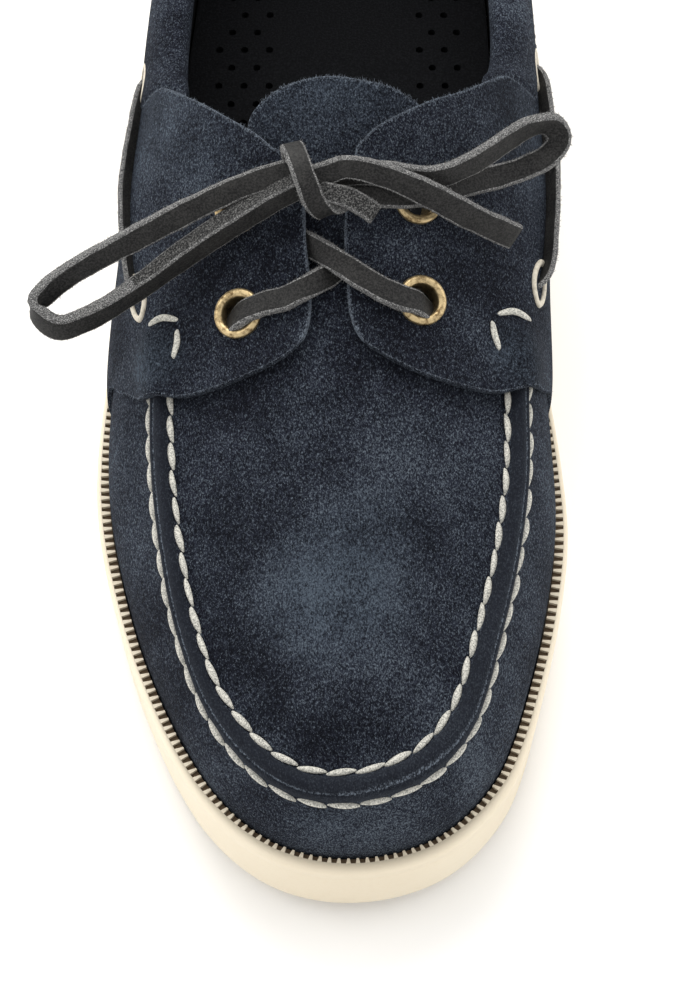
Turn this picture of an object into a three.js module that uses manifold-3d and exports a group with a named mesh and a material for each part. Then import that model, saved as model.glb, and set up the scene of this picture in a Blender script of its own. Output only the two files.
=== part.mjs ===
// A boat shoe for the right foot: cup sole, hollow moccasin upper, quarters that run into
// eyestay flaps, padded collar, tongue, insole, brass eyelets and a leather lace in a bow.
// Millimetres, +Z up, toe towards -Y, medial side towards +X, origin under the middle of the sole.
import * as THREE from 'three';
import { mergeVertices } from 'three/addons/utils/BufferGeometryUtils.js';
import Module from 'manifold-3d';

const wasm = await Module();
wasm.setup();

// Driving sizes of the last and the sole
const LENGTH = 298;
const BALL_WIDTH = 107;
const INSTEP_HEIGHT = 108;
const SEAM_HEIGHT = 42;
const SEAM_INSET = 7;
const RIM_HEIGHT = 20;
const RIM_WIDTH = 3.0;
const TOE_RIM_WIDTH = 3.8;
const CUP_DEPTH = 8;
const HEEL_LIFT = 6;
const TOE_SPRING = 5;
const HEEL_SPRING = 1.5;
const ARCH_RISE = 3;
const SOLE_EDGE = 1.5;
const STEP_HEIGHT = 3.5;
const STEP_DEPTH = 0.7;

// Driving sizes of the leather, the openings and the lace
const WALL = 1.7;
const QUARTER = 1.8;
const TONGUE = 2.0;
const INSOLE = 4.0;
const GAP = 0.3;
const RIDGE_WIDTH = 7.4;
const RIDGE_HEIGHT = 2.0;
const RIDGE_INSIDE = 0.35;
const TOP_LAP = 1.5;
const THROAT_WIDTH = 22;
const COLLAR_HEIGHT = 12;
const COLLAR_THICKNESS = 11;
const EYELET_RADIUS = 5.0;
const EYELET_BORE = 2.9;
const BARREL_WALL = 0.7;
const FLANGE_HEIGHT = 1.3;
const LACE_WIDTH = 4.5;
const LACE_THICKNESS = 2.0;
const CORD_RADIUS = 1.7;
const KNOT_WIDTH = 7.5;

// How finely the curved forms are cut
const STATIONS = 36;
const DENSE = 1440;
const RIB_STEPS = 20;
const LACE_STEP = 6;
const CORD_SIDES = 8;
const EYELET_SIDES = 12;
const FLAP_STEPS = 10;
const COLLAR_STEPS = 28;
const ROLL_STEPS = 30;
const SIDE_LACE_STEPS = 12;
const SEARCH_ROUNDS = 30;

// Where the sole and the upper change, as shares of LENGTH from the toe tip
const TOE_SPRING_END = 0.21;
const HEEL_SPRING_START = 0.93;
const ARCH = { start: 0.45, full: 0.52, fade: 0.62, end: 0.68 };
const HEEL_RISE = { start: 0.37, end: 0.77 };
const RIM_TAPER = { start: 0.03, end: 0.2 };
const RIDGE_FADE = { start: 0.325, end: 0.37 };
const THROAT = { front: 0.396, middle: 0.45, back: 0.56 };
const TOP_START = 0.484;
const COLLAR_START = 0.588;
const HEEL_SEAM_START = 0.8;
const BEHIND_HEEL = 1.04;

// Sole outline from the toe tip down the lateral side and back up the medial side:
// `along` is a share of LENGTH from the toe, `out` a share of BALL_WIDTH towards the medial side
const OUTLINE = [
  { along: 0.0, out: 0.045 },
  { along: 0.003, out: -0.042 },
  { along: 0.0138, out: -0.124 },
  { along: 0.0326, out: -0.197 },
  { along: 0.0587, out: -0.262 },
  { along: 0.086, out: -0.309 },
  { along: 0.1174, out: -0.352 },
  { along: 0.1846, out: -0.423 },
  { along: 0.28, out: -0.488 },
  { along: 0.345, out: -0.5 },
  { along: 0.45, out: -0.477 },
  { along: 0.587, out: -0.421 },
  { along: 0.755, out: -0.372 },
  { along: 0.839, out: -0.35 },
  { along: 0.899, out: -0.316 },
  { along: 0.946, out: -0.254 },
  { along: 0.978, out: -0.168 },
  { along: 0.995, out: -0.07 },
  { along: 1.0, out: 0.024 },
  { along: 0.9965, out: 0.12 },
  { along: 0.9815, out: 0.219 },
  { along: 0.953, out: 0.299 },
  { along: 0.906, out: 0.363 },
  { along: 0.846, out: 0.396 },
  { along: 0.765, out: 0.411 },
  { along: 0.587, out: 0.424 },
  { along: 0.453, out: 0.458 },
  { along: 0.34, out: 0.493 },
  { along: 0.2785, out: 0.5 },
  { along: 0.214, out: 0.478 },
  { along: 0.1426, out: 0.433 },
  { along: 0.1013, out: 0.4 },
  { along: 0.0728, out: 0.367 },
  { along: 0.0416, out: 0.305 },
  { along: 0.0191, out: 0.231 },
  { along: 0.0054, out: 0.143 },
];

// Cross sections of the last. `crest` is a share of INSTEP_HEIGHT on the spine, `seam` a share of
// SEAM_HEIGHT, `lateral` and `medial` shares of SEAM_INSET from the rim in to the seam line, and
// the angles are the slope at the rim, below the seam and above it
const SECTIONS = [
  { along: 0.0, crest: 0.463, seam: 1.0, lateral: 1.0, medial: 1.0, foot: 92, wall: 62, plug: 22 },
  { along: 0.06, crest: 0.472, seam: 1.01, lateral: 1.09, medial: 1.12, foot: 93, wall: 62, plug: 20 },
  { along: 0.14, crest: 0.491, seam: 1.05, lateral: 1.33, medial: 1.33, foot: 94, wall: 60, plug: 20 },
  { along: 0.22, crest: 0.528, seam: 1.11, lateral: 1.7, medial: 1.4, foot: 95, wall: 58, plug: 24 },
  { along: 0.3, crest: 0.574, seam: 1.18, lateral: 1.95, medial: 1.35, foot: 98, wall: 57, plug: 30 },
  { along: 0.36, crest: 0.625, seam: 1.24, lateral: 1.85, medial: 1.1, foot: 101, wall: 58, plug: 38 },
  { along: 0.44, crest: 0.704, seam: 1.26, lateral: 0.95, medial: 0.25, foot: 104, wall: 66, plug: 54 },
  { along: 0.52, crest: 0.796, seam: 1.21, lateral: 0.1, medial: -0.5, foot: 106, wall: 76, plug: 70 },
  { along: 0.6, crest: 0.87, seam: 1.16, lateral: -0.2, medial: -0.7, foot: 107, wall: 83, plug: 79 },
  { along: 0.72, crest: 0.935, seam: 1.15, lateral: -0.4, medial: -0.6, foot: 106, wall: 86, plug: 83 },
  { along: 0.86, crest: 0.981, seam: 1.17, lateral: -0.3, medial: -0.3, foot: 104, wall: 88, plug: 86 },
  { along: 1.0, crest: 1.0, seam: 1.19, lateral: 0.1, medial: 0.1, foot: 100, wall: 88, plug: 86 },
];

// The spine of the last, `out` as a share of BALL_WIDTH
const SPINE = [
  { along: 0.0, out: 0.042 },
  { along: 0.15, out: 0.028 },
  { along: 0.35, out: 0.009 },
  { along: 0.5, out: 0.006 },
  { along: 0.7, out: 0.017 },
  { along: 1.0, out: 0.024 },
];

// Ribs fan out at both ends: how far the spine starts from each tip and how fast that fades,
// as shares of LENGTH
const TOE_FAN = { reach: 0.1, fade: 0.128 };
const HEEL_FAN = { reach: 0.107, fade: 0.134 };

// Front and throat edges of the flaps, `out` as a share of BALL_WIDTH from the spine outwards
const LATERAL_FLAP = [
  { along: 0.51, out: -0.12 },
  { along: 0.474, out: -0.07 },
  { along: 0.45, out: -0.055 },
  { along: 0.42, out: -0.05 },
  { along: 0.385, out: -0.04 },
  { along: 0.365, out: -0.043 },
  { along: 0.353, out: -0.055 },
  { along: 0.342, out: -0.092 },
  { along: 0.334, out: -0.15 },
  { along: 0.328, out: -0.25 },
  { along: 0.33, out: -0.32 },
  { along: 0.339, out: -0.385 },
  { along: 0.361, out: -0.436 },
  { along: 0.378, out: -0.49 },
];
const MEDIAL_FLAP = [
  { along: 0.51, out: 0.07 },
  { along: 0.473, out: 0.046 },
  { along: 0.446, out: 0.032 },
  { along: 0.418, out: 0.029 },
  { along: 0.393, out: 0.034 },
  { along: 0.37, out: 0.04 },
  { along: 0.353, out: 0.062 },
  { along: 0.342, out: 0.111 },
  { along: 0.333, out: 0.184 },
  { along: 0.33, out: 0.31 },
  { along: 0.336, out: 0.378 },
  { along: 0.344, out: 0.41 },
  { along: 0.362, out: 0.458 },
  { along: 0.376, out: 0.5 },
];

// Top line of the flaps and the collar, each side as a share of INSTEP_HEIGHT
const TOP_LINE = [
  { along: 0.484, lateral: 0.76, medial: 0.775 },
  { along: 0.505, lateral: 0.758, medial: 0.786 },
  { along: 0.527, lateral: 0.736, medial: 0.772 },
  { along: 0.545, lateral: 0.708, medial: 0.74 },
  { along: 0.56, lateral: 0.676, medial: 0.711 },
  { along: 0.574, lateral: 0.642, medial: 0.681 },
  { along: 0.587, lateral: 0.604, medial: 0.646 },
  { along: 0.604, lateral: 0.579, medial: 0.607 },
  { along: 0.638, lateral: 0.56, medial: 0.579 },
  { along: 0.69, lateral: 0.555, medial: 0.565 },
  { along: 0.755, lateral: 0.565, medial: 0.569 },
  { along: 0.84, lateral: 0.602, medial: 0.602 },
  { along: 0.92, lateral: 0.657, medial: 0.657 },
  { along: 1.03, lateral: 0.7, medial: 0.7 },
];

// The lace along a quarter, from its front slit to its rear one, `up` a share of INSTEP_HEIGHT
const SIDE_LACE = [
  { along: 0.43, up: 0.476 },
  { along: 0.5, up: 0.481 },
  { along: 0.58, up: 0.467 },
];

// Plan of the tongue round its free end, `out` a share of BALL_WIDTH from the spine
const TONGUE_PLAN = [
  { along: 0.356, out: -0.135 },
  { along: 0.473, out: -0.135 },
  { along: 0.5, out: -0.172 },
  { along: 0.518, out: -0.187 },
  { along: 0.534, out: -0.168 },
  { along: 0.543, out: -0.121 },
  { along: 0.547, out: -0.047 },
  { along: 0.547, out: 0.047 },
  { along: 0.545, out: 0.121 },
  { along: 0.537, out: 0.178 },
  { along: 0.52, out: 0.196 },
  { along: 0.5, out: 0.159 },
  { along: 0.477, out: 0.121 },
  { along: 0.356, out: 0.121 },
];

// Cross section of the padded collar from its outer foot over the top: `inset` a share of
// COLLAR_THICKNESS, `up` a share of its height
const COLLAR_PROFILE = [
  { inset: 0, up: 0 },
  { inset: -0.03, up: 0.45 },
  { inset: 0.06, up: 0.78 },
  { inset: 0.28, up: 0.97 },
  { inset: 0.55, up: 1 },
  { inset: 0.84, up: 0.82 },
  { inset: 1, up: 0.45 },
  { inset: 0.92, up: 0 },
];

const EYELETS = [
  { name: 'eyelet_lateral_front', out: -0.186, along: 0.378 },
  { name: 'eyelet_lateral_back', out: -0.187, along: 0.452 },
  { name: 'eyelet_medial_front', out: 0.19, along: 0.385 },
  { name: 'eyelet_medial_back', out: 0.177, along: 0.456 },
];

// The two bars of the lace over the throat, `out` and `along` as for the flaps, and `lift` the
// number of lace thicknesses above the flaps. The second bar crosses over the first
const LOWER_BAR = [
  { out: -0.164, along: 0.377, lift: 1.98 },
  { out: -0.121, along: 0.375, lift: 1.99 },
  { out: -0.059, along: 0.382, lift: 1.82 },
  { out: -0.013, along: 0.391, lift: 1.66 },
  { out: 0.06, along: 0.413, lift: 1.79 },
  { out: 0.117, along: 0.432, lift: 1.97 },
  { out: 0.151, along: 0.444, lift: 2.1 },
];
const UPPER_BAR = [
  { out: 0.164, along: 0.381, lift: 2.0 },
  { out: 0.127, along: 0.381, lift: 2.06 },
  { out: 0.081, along: 0.387, lift: 2.1 },
  { out: 0.023, along: 0.397, lift: 2.33 },
  { out: -0.019, along: 0.407, lift: 2.42 },
  { out: -0.061, along: 0.422, lift: 2.11 },
  { out: -0.112, along: 0.44, lift: 1.8 },
  { out: -0.144, along: 0.446, lift: 2.14 },
];

// Routes of the bow, by hand, as [across, from the toe tip, up] in millimetres
const CORDS = {
  lace_loop_lateral: [[-10.3, 137, 87.2], [-18.3, 135.8, 84], [-29.7, 134.7, 77.5], [-42.5, 127, 73.5],
    [-54.9, 123, 69], [-60.9, 119.8, 66], [-64.2, 116.2, 64], [-59.8, 112, 62], [-52.6, 113.7, 63],
    [-42.7, 117.5, 66], [-33, 122.2, 69.5], [-23.2, 124, 75.6], [-15.5, 126.4, 81], [-10.3, 128.8, 84.6]],
  lace_loop_medial: [[-0.5, 138.5, 86.6], [6, 139.5, 86.4], [13, 140, 85.6], [21.7, 140.5, 84.2],
    [30.3, 143.4, 81.8], [44.5, 152.4, 82], [51, 154, 80], [52.8, 150.6, 77], [49.6, 146.2, 73.5],
    [41.6, 142.3, 73], [31.8, 139.6, 76.4], [21.6, 136.5, 80.9], [12.8, 135, 83.2], [5, 134, 83.6],
    [-0.5, 133.6, 83.4]],
  lace_end_long: [[-0.5, 133.4, 90.2], [3.6, 134.4, 90.8], [12.3, 133.5, 89], [20.8, 132.1, 84.6],
    [30.3, 132.1, 76.4], [40.5, 133.7, 67]],
  lace_end_short: [[-0.5, 129.8, 87], [3, 129.6, 86.2], [6.5, 129.2, 84.4], [9.6, 128.2, 82.6]],
};
const KNOT = [[128, 81.4], [139.5, 81.4], [141.5, 85], [140, 90], [134, 92.2], [128.5, 90.5], [127, 86]];
const KNOT_START = -9;

const SUEDE = { color: 0x2a3750, roughness: 0.95, metalness: 0 };
const LEATHER = { color: 0x2b2a2b, roughness: 0.6, metalness: 0 };
const LINING = { color: 0x14161c, roughness: 0.9, metalness: 0 };
const RUBBER = { color: 0xf0e4cb, roughness: 0.7, metalness: 0 };
const BRASS = { color: 0x9c8457, roughness: 0.35, metalness: 1 };

const object = new THREE.Group();

function addMesh(name, geometry, look) {
  const mesh = new THREE.Mesh(geometry, new THREE.MeshStandardMaterial(look));
  mesh.name = name;
  object.add(mesh);
  return mesh;
}

// A value read from a column of a table, smooth through its rows
function readRow(table, column, along) {
  const last = table.length - 1;
  if (along <= table[0].along) return table[0][column];
  if (along >= table[last].along) return table[last][column];
  let row = 0;
  while (table[row + 1].along < along) row += 1;
  const slope = (index) => {
    const before = table[Math.max(index - 1, 0)];
    const after = table[Math.min(index + 1, last)];
    return (after[column] - before[column]) / (after.along - before.along);
  };
  const from = table[row];
  const to = table[row + 1];
  const span = to.along - from.along;
  const t = (along - from.along) / span;
  const [start, end] = [slope(row) * span, slope(row + 1) * span];
  return hermite(from[column], to[column], start, end, t);
}

function hermite(from, to, startSlope, endSlope, t) {
  const t2 = t * t;
  const t3 = t2 * t;
  return (2 * t3 - 3 * t2 + 1) * from + (t3 - 2 * t2 + t) * startSlope
    + (3 * t2 - 2 * t3) * to + (t3 - t2) * endSlope;
}

function smooth(from, to, value) {
  const t = THREE.MathUtils.clamp((value - from) / (to - from), 0, 1);
  return t * t * (3 - 2 * t);
}

function alongOf(y) {
  return y / LENGTH + 0.5;
}

function yOf(along) {
  return (along - 0.5) * LENGTH;
}

function toeRise(along) {
  return TOE_SPRING * Math.max(0, 1 - along / TOE_SPRING_END) ** 2;
}

function spineX(along) {
  return readRow(SPINE, 'out', along) * BALL_WIDTH;
}

// Heights of the sole at a share of its length
function underside(along) {
  const heel = HEEL_SPRING * Math.max(0, (along - HEEL_SPRING_START) / (1 - HEEL_SPRING_START)) ** 2;
  const arch = ARCH_RISE * smooth(ARCH.start, ARCH.full, along) * (1 - smooth(ARCH.fade, ARCH.end, along));
  return toeRise(along) + heel + arch;
}

function rimTop(along) {
  return RIM_HEIGHT + toeRise(along) + HEEL_LIFT * smooth(HEEL_RISE.start, HEEL_RISE.end, along);
}

function rimWidth(along) {
  return TOE_RIM_WIDTH + (RIM_WIDTH - TOE_RIM_WIDTH) * smooth(RIM_TAPER.start, RIM_TAPER.end, along);
}

// The outline as closely spaced points, with the indices of the toe tip and the heel tip
function traceOutline() {
  const points = OUTLINE.map((row) => new THREE.Vector3(row.out * BALL_WIDTH, yOf(row.along), 0));
  const curve = new THREE.CatmullRomCurve3(points, true, 'centripetal');
  curve.arcLengthDivisions = DENSE;
  const dense = curve.getSpacedPoints(DENSE).slice(0, DENSE);
  let toe = 0;
  let heel = 0;
  dense.forEach((point, index) => {
    if (point.y < dense[toe].y) toe = index;
    if (point.y > dense[heel].y) heel = index;
  });
  return { dense, toe, heel };
}

const TRACE = traceOutline();
const RING = 2 * STATIONS;

// Station 0 is the toe tip, STATIONS the heel tip, and RING comes back to the toe tip.
// Returns the point on the outline with its outward direction
function outlineAt(station) {
  const { dense, toe, heel } = TRACE;
  const place = ((station % RING) + RING) % RING;
  const lateral = place <= STATIONS;
  const start = lateral ? toe : heel;
  const end = lateral ? heel : toe;
  const span = (end - start + DENSE) % DENSE;
  const share = lateral ? place / STATIONS : place / STATIONS - 1;
  const index = start + span * share;
  const whole = Math.floor(index);
  const before = dense[whole % DENSE];
  const after = dense[(whole + 1) % DENSE];
  const point = before.clone().lerp(after, index - whole);
  const tangent = dense[(whole + 3) % DENSE].clone().sub(dense[(whole + DENSE - 2) % DENSE]).normalize();
  return { point, outward: new THREE.Vector3(-tangent.y, tangent.x, 0) };
}

// A point of the outline moved in by `inset`
function insetPoint(station, inset) {
  const { point, outward } = outlineAt(station);
  return point.clone().addScaledVector(outward, -inset);
}

function footPoint(station) {
  const { point } = outlineAt(station);
  return insetPoint(station, rimWidth(alongOf(point.y)) + GAP);
}

function partnerOf(station) {
  return (RING - station) % RING;
}

// One rib of the last: from its foot at the rim up to the spine, as a line of [in, up] steps
function ribAt(station) {
  const foot = footPoint(station);
  const other = footPoint(partnerOf(station));
  const middle = alongOf((foot.y + other.y) / 2);
  const spineAlong = middle + TOE_FAN.reach * Math.exp(-middle / TOE_FAN.fade)
    - HEEL_FAN.reach * Math.exp(-(1 - middle) / HEEL_FAN.fade);
  const spine = new THREE.Vector3(spineX(spineAlong), yOf(spineAlong), 0);
  const reach = spine.distanceTo(foot);
  const inward = spine.clone().sub(foot).normalize();
  const along = alongOf(foot.y);
  const side = station % RING < STATIONS ? 'lateral' : 'medial';
  const seam = {
    in: readRow(SECTIONS, side, along) * SEAM_INSET,
    up: readRow(SECTIONS, 'seam', along) * SEAM_HEIGHT,
  };
  const crest = { in: reach, up: readRow(SECTIONS, 'crest', spineAlong) * INSTEP_HEIGHT };
  const base = { in: 0, up: rimTop(along) };
  const angle = (column) => THREE.MathUtils.degToRad(readRow(SECTIONS, column, along));
  const wall = bendLine(base, seam, angle('foot'), angle('wall'), 1.1);
  const plug = bendLine(seam, crest, angle('plug'), 0, 1.0);
  return { foot, inward, line: [...wall, ...plug.slice(1)], seamIndex: wall.length - 1 };
}

function bendLine(from, to, startAngle, endAngle, pull) {
  const chord = Math.hypot(to.in - from.in, to.up - from.up) * pull;
  const steps = [];
  for (let step = 0; step <= RIB_STEPS; step += 1) {
    const t = step / RIB_STEPS;
    steps.push({
      in: hermite(from.in, to.in, Math.cos(startAngle) * chord, Math.cos(endAngle) * chord, t),
      up: hermite(from.up, to.up, Math.sin(startAngle) * chord, Math.sin(endAngle) * chord, t),
    });
  }
  return steps;
}

function lengthsOf(line) {
  const lengths = [0];
  for (let index = 1; index < line.length; index += 1) {
    const step = Math.hypot(line[index].in - line[index - 1].in, line[index].up - line[index - 1].up);
    lengths.push(lengths[index - 1] + step);
  }
  return lengths;
}

function stepAt(line, lengths, distance) {
  let index = 1;
  while (index < line.length - 1 && lengths[index] < distance) index += 1;
  const t = (distance - lengths[index - 1]) / (lengths[index] - lengths[index - 1]);
  return {
    in: THREE.MathUtils.lerp(line[index - 1].in, line[index].in, t),
    up: THREE.MathUtils.lerp(line[index - 1].up, line[index].up, t),
  };
}

// Where a rib crosses a height below its seam or just above it, as the distance in from the foot
function inAt(rib, height) {
  const { line } = rib;
  let index = 1;
  while (index < line.length - 1 && line[index].up < height) index += 1;
  const t = (height - line[index - 1].up) / (line[index].up - line[index - 1].up);
  return THREE.MathUtils.lerp(line[index - 1].in, line[index].in, t);
}

// A point off the last's wall: `height` is where it stands on the wall, `offset` how far out
function offRib(rib, height, offset) {
  const lean = inAt(rib, height + 1) - inAt(rib, height - 1);
  const length = Math.hypot(lean, 2);
  return onRib(rib, inAt(rib, height) - offset * 2 / length, height + offset * lean / length);
}

function onRib(rib, inset, height) {
  const point = rib.foot.clone().addScaledVector(rib.inward, inset);
  point.z = height;
  return point;
}

// Columns across a rib: evenly up the wall, close together at both edges of the raised seam,
// then evenly up to the spine. `ridge` says how much of the raised seam a column carries
const WALL_SHARES = [0, 0.33, 0.67, 1];
const PLUG_SHARES = [0.33, 0.67, 1];

function columnsOf(rib) {
  const lengths = lengthsOf(rib.line);
  const seam = lengths[rib.seamIndex];
  const total = lengths[lengths.length - 1];
  const half = RIDGE_WIDTH / 2;
  const edge = RIDGE_HEIGHT / 2;
  const wallEnd = seam - half - edge;
  const plugStart = seam + half + edge;
  return [
    ...WALL_SHARES.map((share) => ({ distance: wallEnd * share, ridge: 0 })),
    { distance: seam - half, ridge: 1 },
    { distance: seam, ridge: 1 },
    { distance: seam + half, ridge: 1 },
    { distance: plugStart, ridge: 0 },
    ...PLUG_SHARES.map((share) => ({ distance: plugStart + (total - plugStart) * share, ridge: 0 })),
  ].map((column) => ({ ...stepAt(rib.line, lengths, column.distance), ridge: column.ridge }));
}

// The last's surface as a grid of points with their normals, one row of columns for each station
function makeGrid() {
  const rows = [];
  for (let station = 0; station < RING; station += 1) {
    const rib = ribAt(station);
    rows.push(columnsOf(rib).map((column) => ({
      point: onRib(rib, column.in, column.up),
      ridge: column.ridge * (1 - smooth(RIDGE_FADE.start, RIDGE_FADE.end, alongOf(rib.foot.y + rib.inward.y * column.in))),
    })));
  }
  const last = rows[0].length - 1;
  const at = (station, column) => rows[(station + RING) % RING][column].point;
  const beyondSpine = (station) => {
    const partner = partnerOf(station);
    if (station === 0) return at(1, last);
    if (station === STATIONS) return at(STATIONS - 1, last);
    return at(partner, last - 1);
  };
  rows.forEach((row, station) => row.forEach((cell, column) => {
    const onward = at(station + 1, column).clone().sub(at(station - 1, column));
    const above = column === last ? beyondSpine(station) : at(station, column + 1);
    const below = at(station, Math.max(column - 1, 0));
    const across = above.clone().sub(below);
    cell.normal = across.cross(onward).normalize();
  }));
  const tip = rows[0][last];
  tip.normal = rows[1][last].normal.clone();
  const heelTip = rows[STATIONS][last];
  heelTip.normal = rows[STATIONS - 1][last].normal.clone();
  return rows;
}

const GRID = makeGrid();
const LAST_COLUMN = GRID[0].length - 1;

// A closed solid from points and faces, turned so that its faces point out
function solidOf(points, faces) {
  let volume = 0;
  for (const [a, b, c] of faces) volume += points[a].dot(points[b].clone().cross(points[c]));
  const turned = volume < 0 ? faces.map(([a, b, c]) => [a, c, b]) : faces;
  const vertProperties = new Float32Array(points.flatMap((point) => [point.x, point.y, point.z]));
  const triVerts = new Uint32Array(turned.flat());
  return new wasm.Manifold(new wasm.Mesh({ numProp: 3, vertProperties, triVerts }));
}

function solidFrom(geometry) {
  const bare = geometry.clone();
  bare.deleteAttribute('normal');
  bare.deleteAttribute('uv');
  const merged = mergeVertices(bare, 1e-4);
  const vertProperties = new Float32Array(merged.attributes.position.array);
  const triVerts = new Uint32Array(merged.index.array);
  return new wasm.Manifold(new wasm.Mesh({ numProp: 3, vertProperties, triVerts }));
}

function geometryFrom(solid) {
  const mesh = solid.getMesh();
  const geometry = new THREE.BufferGeometry();
  geometry.setAttribute('position', new THREE.BufferAttribute(mesh.vertProperties, 3));
  geometry.setIndex(new THREE.BufferAttribute(mesh.triVerts, 1));
  geometry.computeVertexNormals();
  return geometry;
}

// Faces between rings of equal size, and over both ends of a tube of such rings
function ringFaces(rings, size, closed) {
  const faces = [];
  const count = closed ? rings : rings - 1;
  for (let ring = 0; ring < count; ring += 1) {
    for (let corner = 0; corner < size; corner += 1) {
      const a = ring * size + corner;
      const b = ring * size + (corner + 1) % size;
      const c = ((ring + 1) % rings) * size + (corner + 1) % size;
      const d = ((ring + 1) % rings) * size + corner;
      faces.push([a, b, c], [a, c, d]);
    }
  }
  return faces;
}

// Faces over the sole-shaped ring that starts at `first`, paired across the shoe
function capFaces(first) {
  const faces = [];
  for (let station = 0; station < STATIONS; station += 1) {
    const [a, b] = [first + station, first + station + 1];
    const [c, d] = [first + partnerOf(station + 1), first + partnerOf(station)];
    if (station < STATIONS - 1) faces.push([a, b, c]);
    if (station > 0) faces.push([a, c, d]);
  }
  return faces;
}

// A solid from sole-shaped rings, from the bottom ring up, with both ends covered
function soleSolid(rings) {
  const points = rings.flat();
  const top = capFaces((rings.length - 1) * RING);
  const bottom = capFaces(0).map(([a, b, c]) => [a, c, b]);
  return solidOf(points, [...ringFaces(rings.length, RING, false), ...top, ...bottom]);
}

function soleRing(insetOf, heightOf) {
  const ring = [];
  for (let station = 0; station < RING; station += 1) {
    const along = alongOf(outlineAt(station).point.y);
    const point = insetPoint(station, insetOf(along));
    point.z = heightOf(alongOf(point.y));
    ring.push(point);
  }
  return ring;
}

// The last grown by `offset`, as one solid down to the cup floor plus `floorRise`
function lastSolid(offset, ridgeShare, floorRise) {
  const points = [];
  const lower = GRID.map((row) => {
    const cell = row[0];
    const point = cell.point.clone().addScaledVector(cell.normal, offset);
    point.z = rimTop(alongOf(point.y)) - CUP_DEPTH + floorRise;
    return point;
  });
  points.push(...lower);
  for (let column = 0; column <= LAST_COLUMN; column += 1) {
    for (const row of GRID) {
      const cell = row[column];
      const lift = offset + cell.ridge * RIDGE_HEIGHT * ridgeShare;
      points.push(cell.point.clone().addScaledVector(cell.normal, lift));
    }
  }
  const spineRow = (LAST_COLUMN + 1) * RING;
  const merged = (index) => {
    if (index < spineRow) return index;
    const station = index - spineRow;
    return spineRow + Math.min(station, partnerOf(station));
  };
  const faces = [...ringFaces(LAST_COLUMN + 2, RING, false), ...capFaces(0).map(([a, b, c]) => [a, c, b])]
    .map((face) => face.map(merged))
    .filter(([a, b, c]) => a !== b && b !== c && c !== a);
  return compactSolid(points, faces);
}

// Drops points that no face uses, then builds the solid
function compactSolid(points, faces) {
  const used = new Map();
  const kept = [];
  const renumbered = faces.map((face) => face.map((index) => {
    if (!used.has(index)) {
      used.set(index, kept.length);
      kept.push(points[index]);
    }
    return used.get(index);
  }));
  return solidOf(kept, renumbered);
}

// An upright prism from [x, y] corners
function prismUp(corners, from, to) {
  const shape = new THREE.Shape(corners.map(([x, y]) => new THREE.Vector2(x, y)));
  const geometry = new THREE.ExtrudeGeometry(shape, { depth: to - from, bevelEnabled: false });
  geometry.translate(0, 0, from);
  return solidFrom(geometry);
}

// A prism lying across the shoe from [y, z] corners, between two places along X
function prismAcross(corners, from, to) {
  const shape = new THREE.Shape(corners.map(([y, z]) => new THREE.Vector2(y, z)));
  const geometry = new THREE.ExtrudeGeometry(shape, { depth: to - from, bevelEnabled: false });
  const turn = new THREE.Matrix4().makeBasis(
    new THREE.Vector3(0, 1, 0),
    new THREE.Vector3(0, 0, 1),
    new THREE.Vector3(1, 0, 0),
  );
  geometry.applyMatrix4(turn);
  geometry.translate(from, 0, 0);
  return solidFrom(geometry);
}

function smoothEdge(rows) {
  const points = rows.map((row) => new THREE.Vector3(row.out * BALL_WIDTH, yOf(row.along), 0));
  const curve = new THREE.CatmullRomCurve3(points, false, 'centripetal');
  return curve.getPoints(2 * rows.length).map((point) => [point.x, point.y]);
}

function topHeight(side, along) {
  return readRow(TOP_LINE, side, along) * INSTEP_HEIGHT;
}

// The space above one side's top line. Behind the collar's start the cut drops by its height
function aboveTopLine(side, lower) {
  const ceiling = 2 * INSTEP_HEIGHT;
  const corners = [[yOf(TOP_START), ceiling], [yOf(TOP_START), topHeight(side, TOP_START) - lower]];
  for (let step = 1; step <= FLAP_STEPS; step += 1) {
    const along = THREE.MathUtils.lerp(TOP_START, COLLAR_START, step / FLAP_STEPS);
    corners.push([yOf(along), topHeight(side, along) - lower]);
  }
  for (let step = 0; step <= COLLAR_STEPS; step += 1) {
    const along = THREE.MathUtils.lerp(COLLAR_START, BEHIND_HEEL, step / COLLAR_STEPS);
    corners.push([yOf(along) + GAP, topHeight(side, along) - COLLAR_HEIGHT]);
  }
  corners.push([yOf(BEHIND_HEEL) + GAP, ceiling]);
  const [from, to] = side === 'lateral' ? [-BALL_WIDTH, spineX(1)] : [spineX(1), BALL_WIDTH];
  return prismAcross(corners, from, to);
}

// Point and normal of the last's surface above a place in plan
function surfaceAt(x, y) {
  let best = null;
  for (let station = 0; station < RING; station += 1) {
    for (let column = 0; column < LAST_COLUMN; column += 1) {
      const a = GRID[station][column];
      const b = GRID[(station + 1) % RING][column];
      const c = GRID[(station + 1) % RING][column + 1];
      const d = GRID[station][column + 1];
      for (const corners of [[a, b, c], [a, c, d]]) {
        const found = insideTriangle(corners, x, y);
        if (found && (!best || found.point.z > best.point.z)) best = found;
      }
    }
  }
  return best;
}

function insideTriangle([a, b, c], x, y) {
  const flat = (cell) => new THREE.Vector3(cell.point.x, cell.point.y, 0);
  const weights = new THREE.Vector3();
  if (!THREE.Triangle.getBarycoord(new THREE.Vector3(x, y, 0), flat(a), flat(b), flat(c), weights)) return null;
  if (Math.min(weights.x, weights.y, weights.z) < -1e-6) return null;
  const mix = (key) => new THREE.Vector3()
    .addScaledVector(a[key], weights.x)
    .addScaledVector(b[key], weights.y)
    .addScaledVector(c[key], weights.z);
  return { point: mix('point'), normal: mix('normal').normalize() };
}

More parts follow.
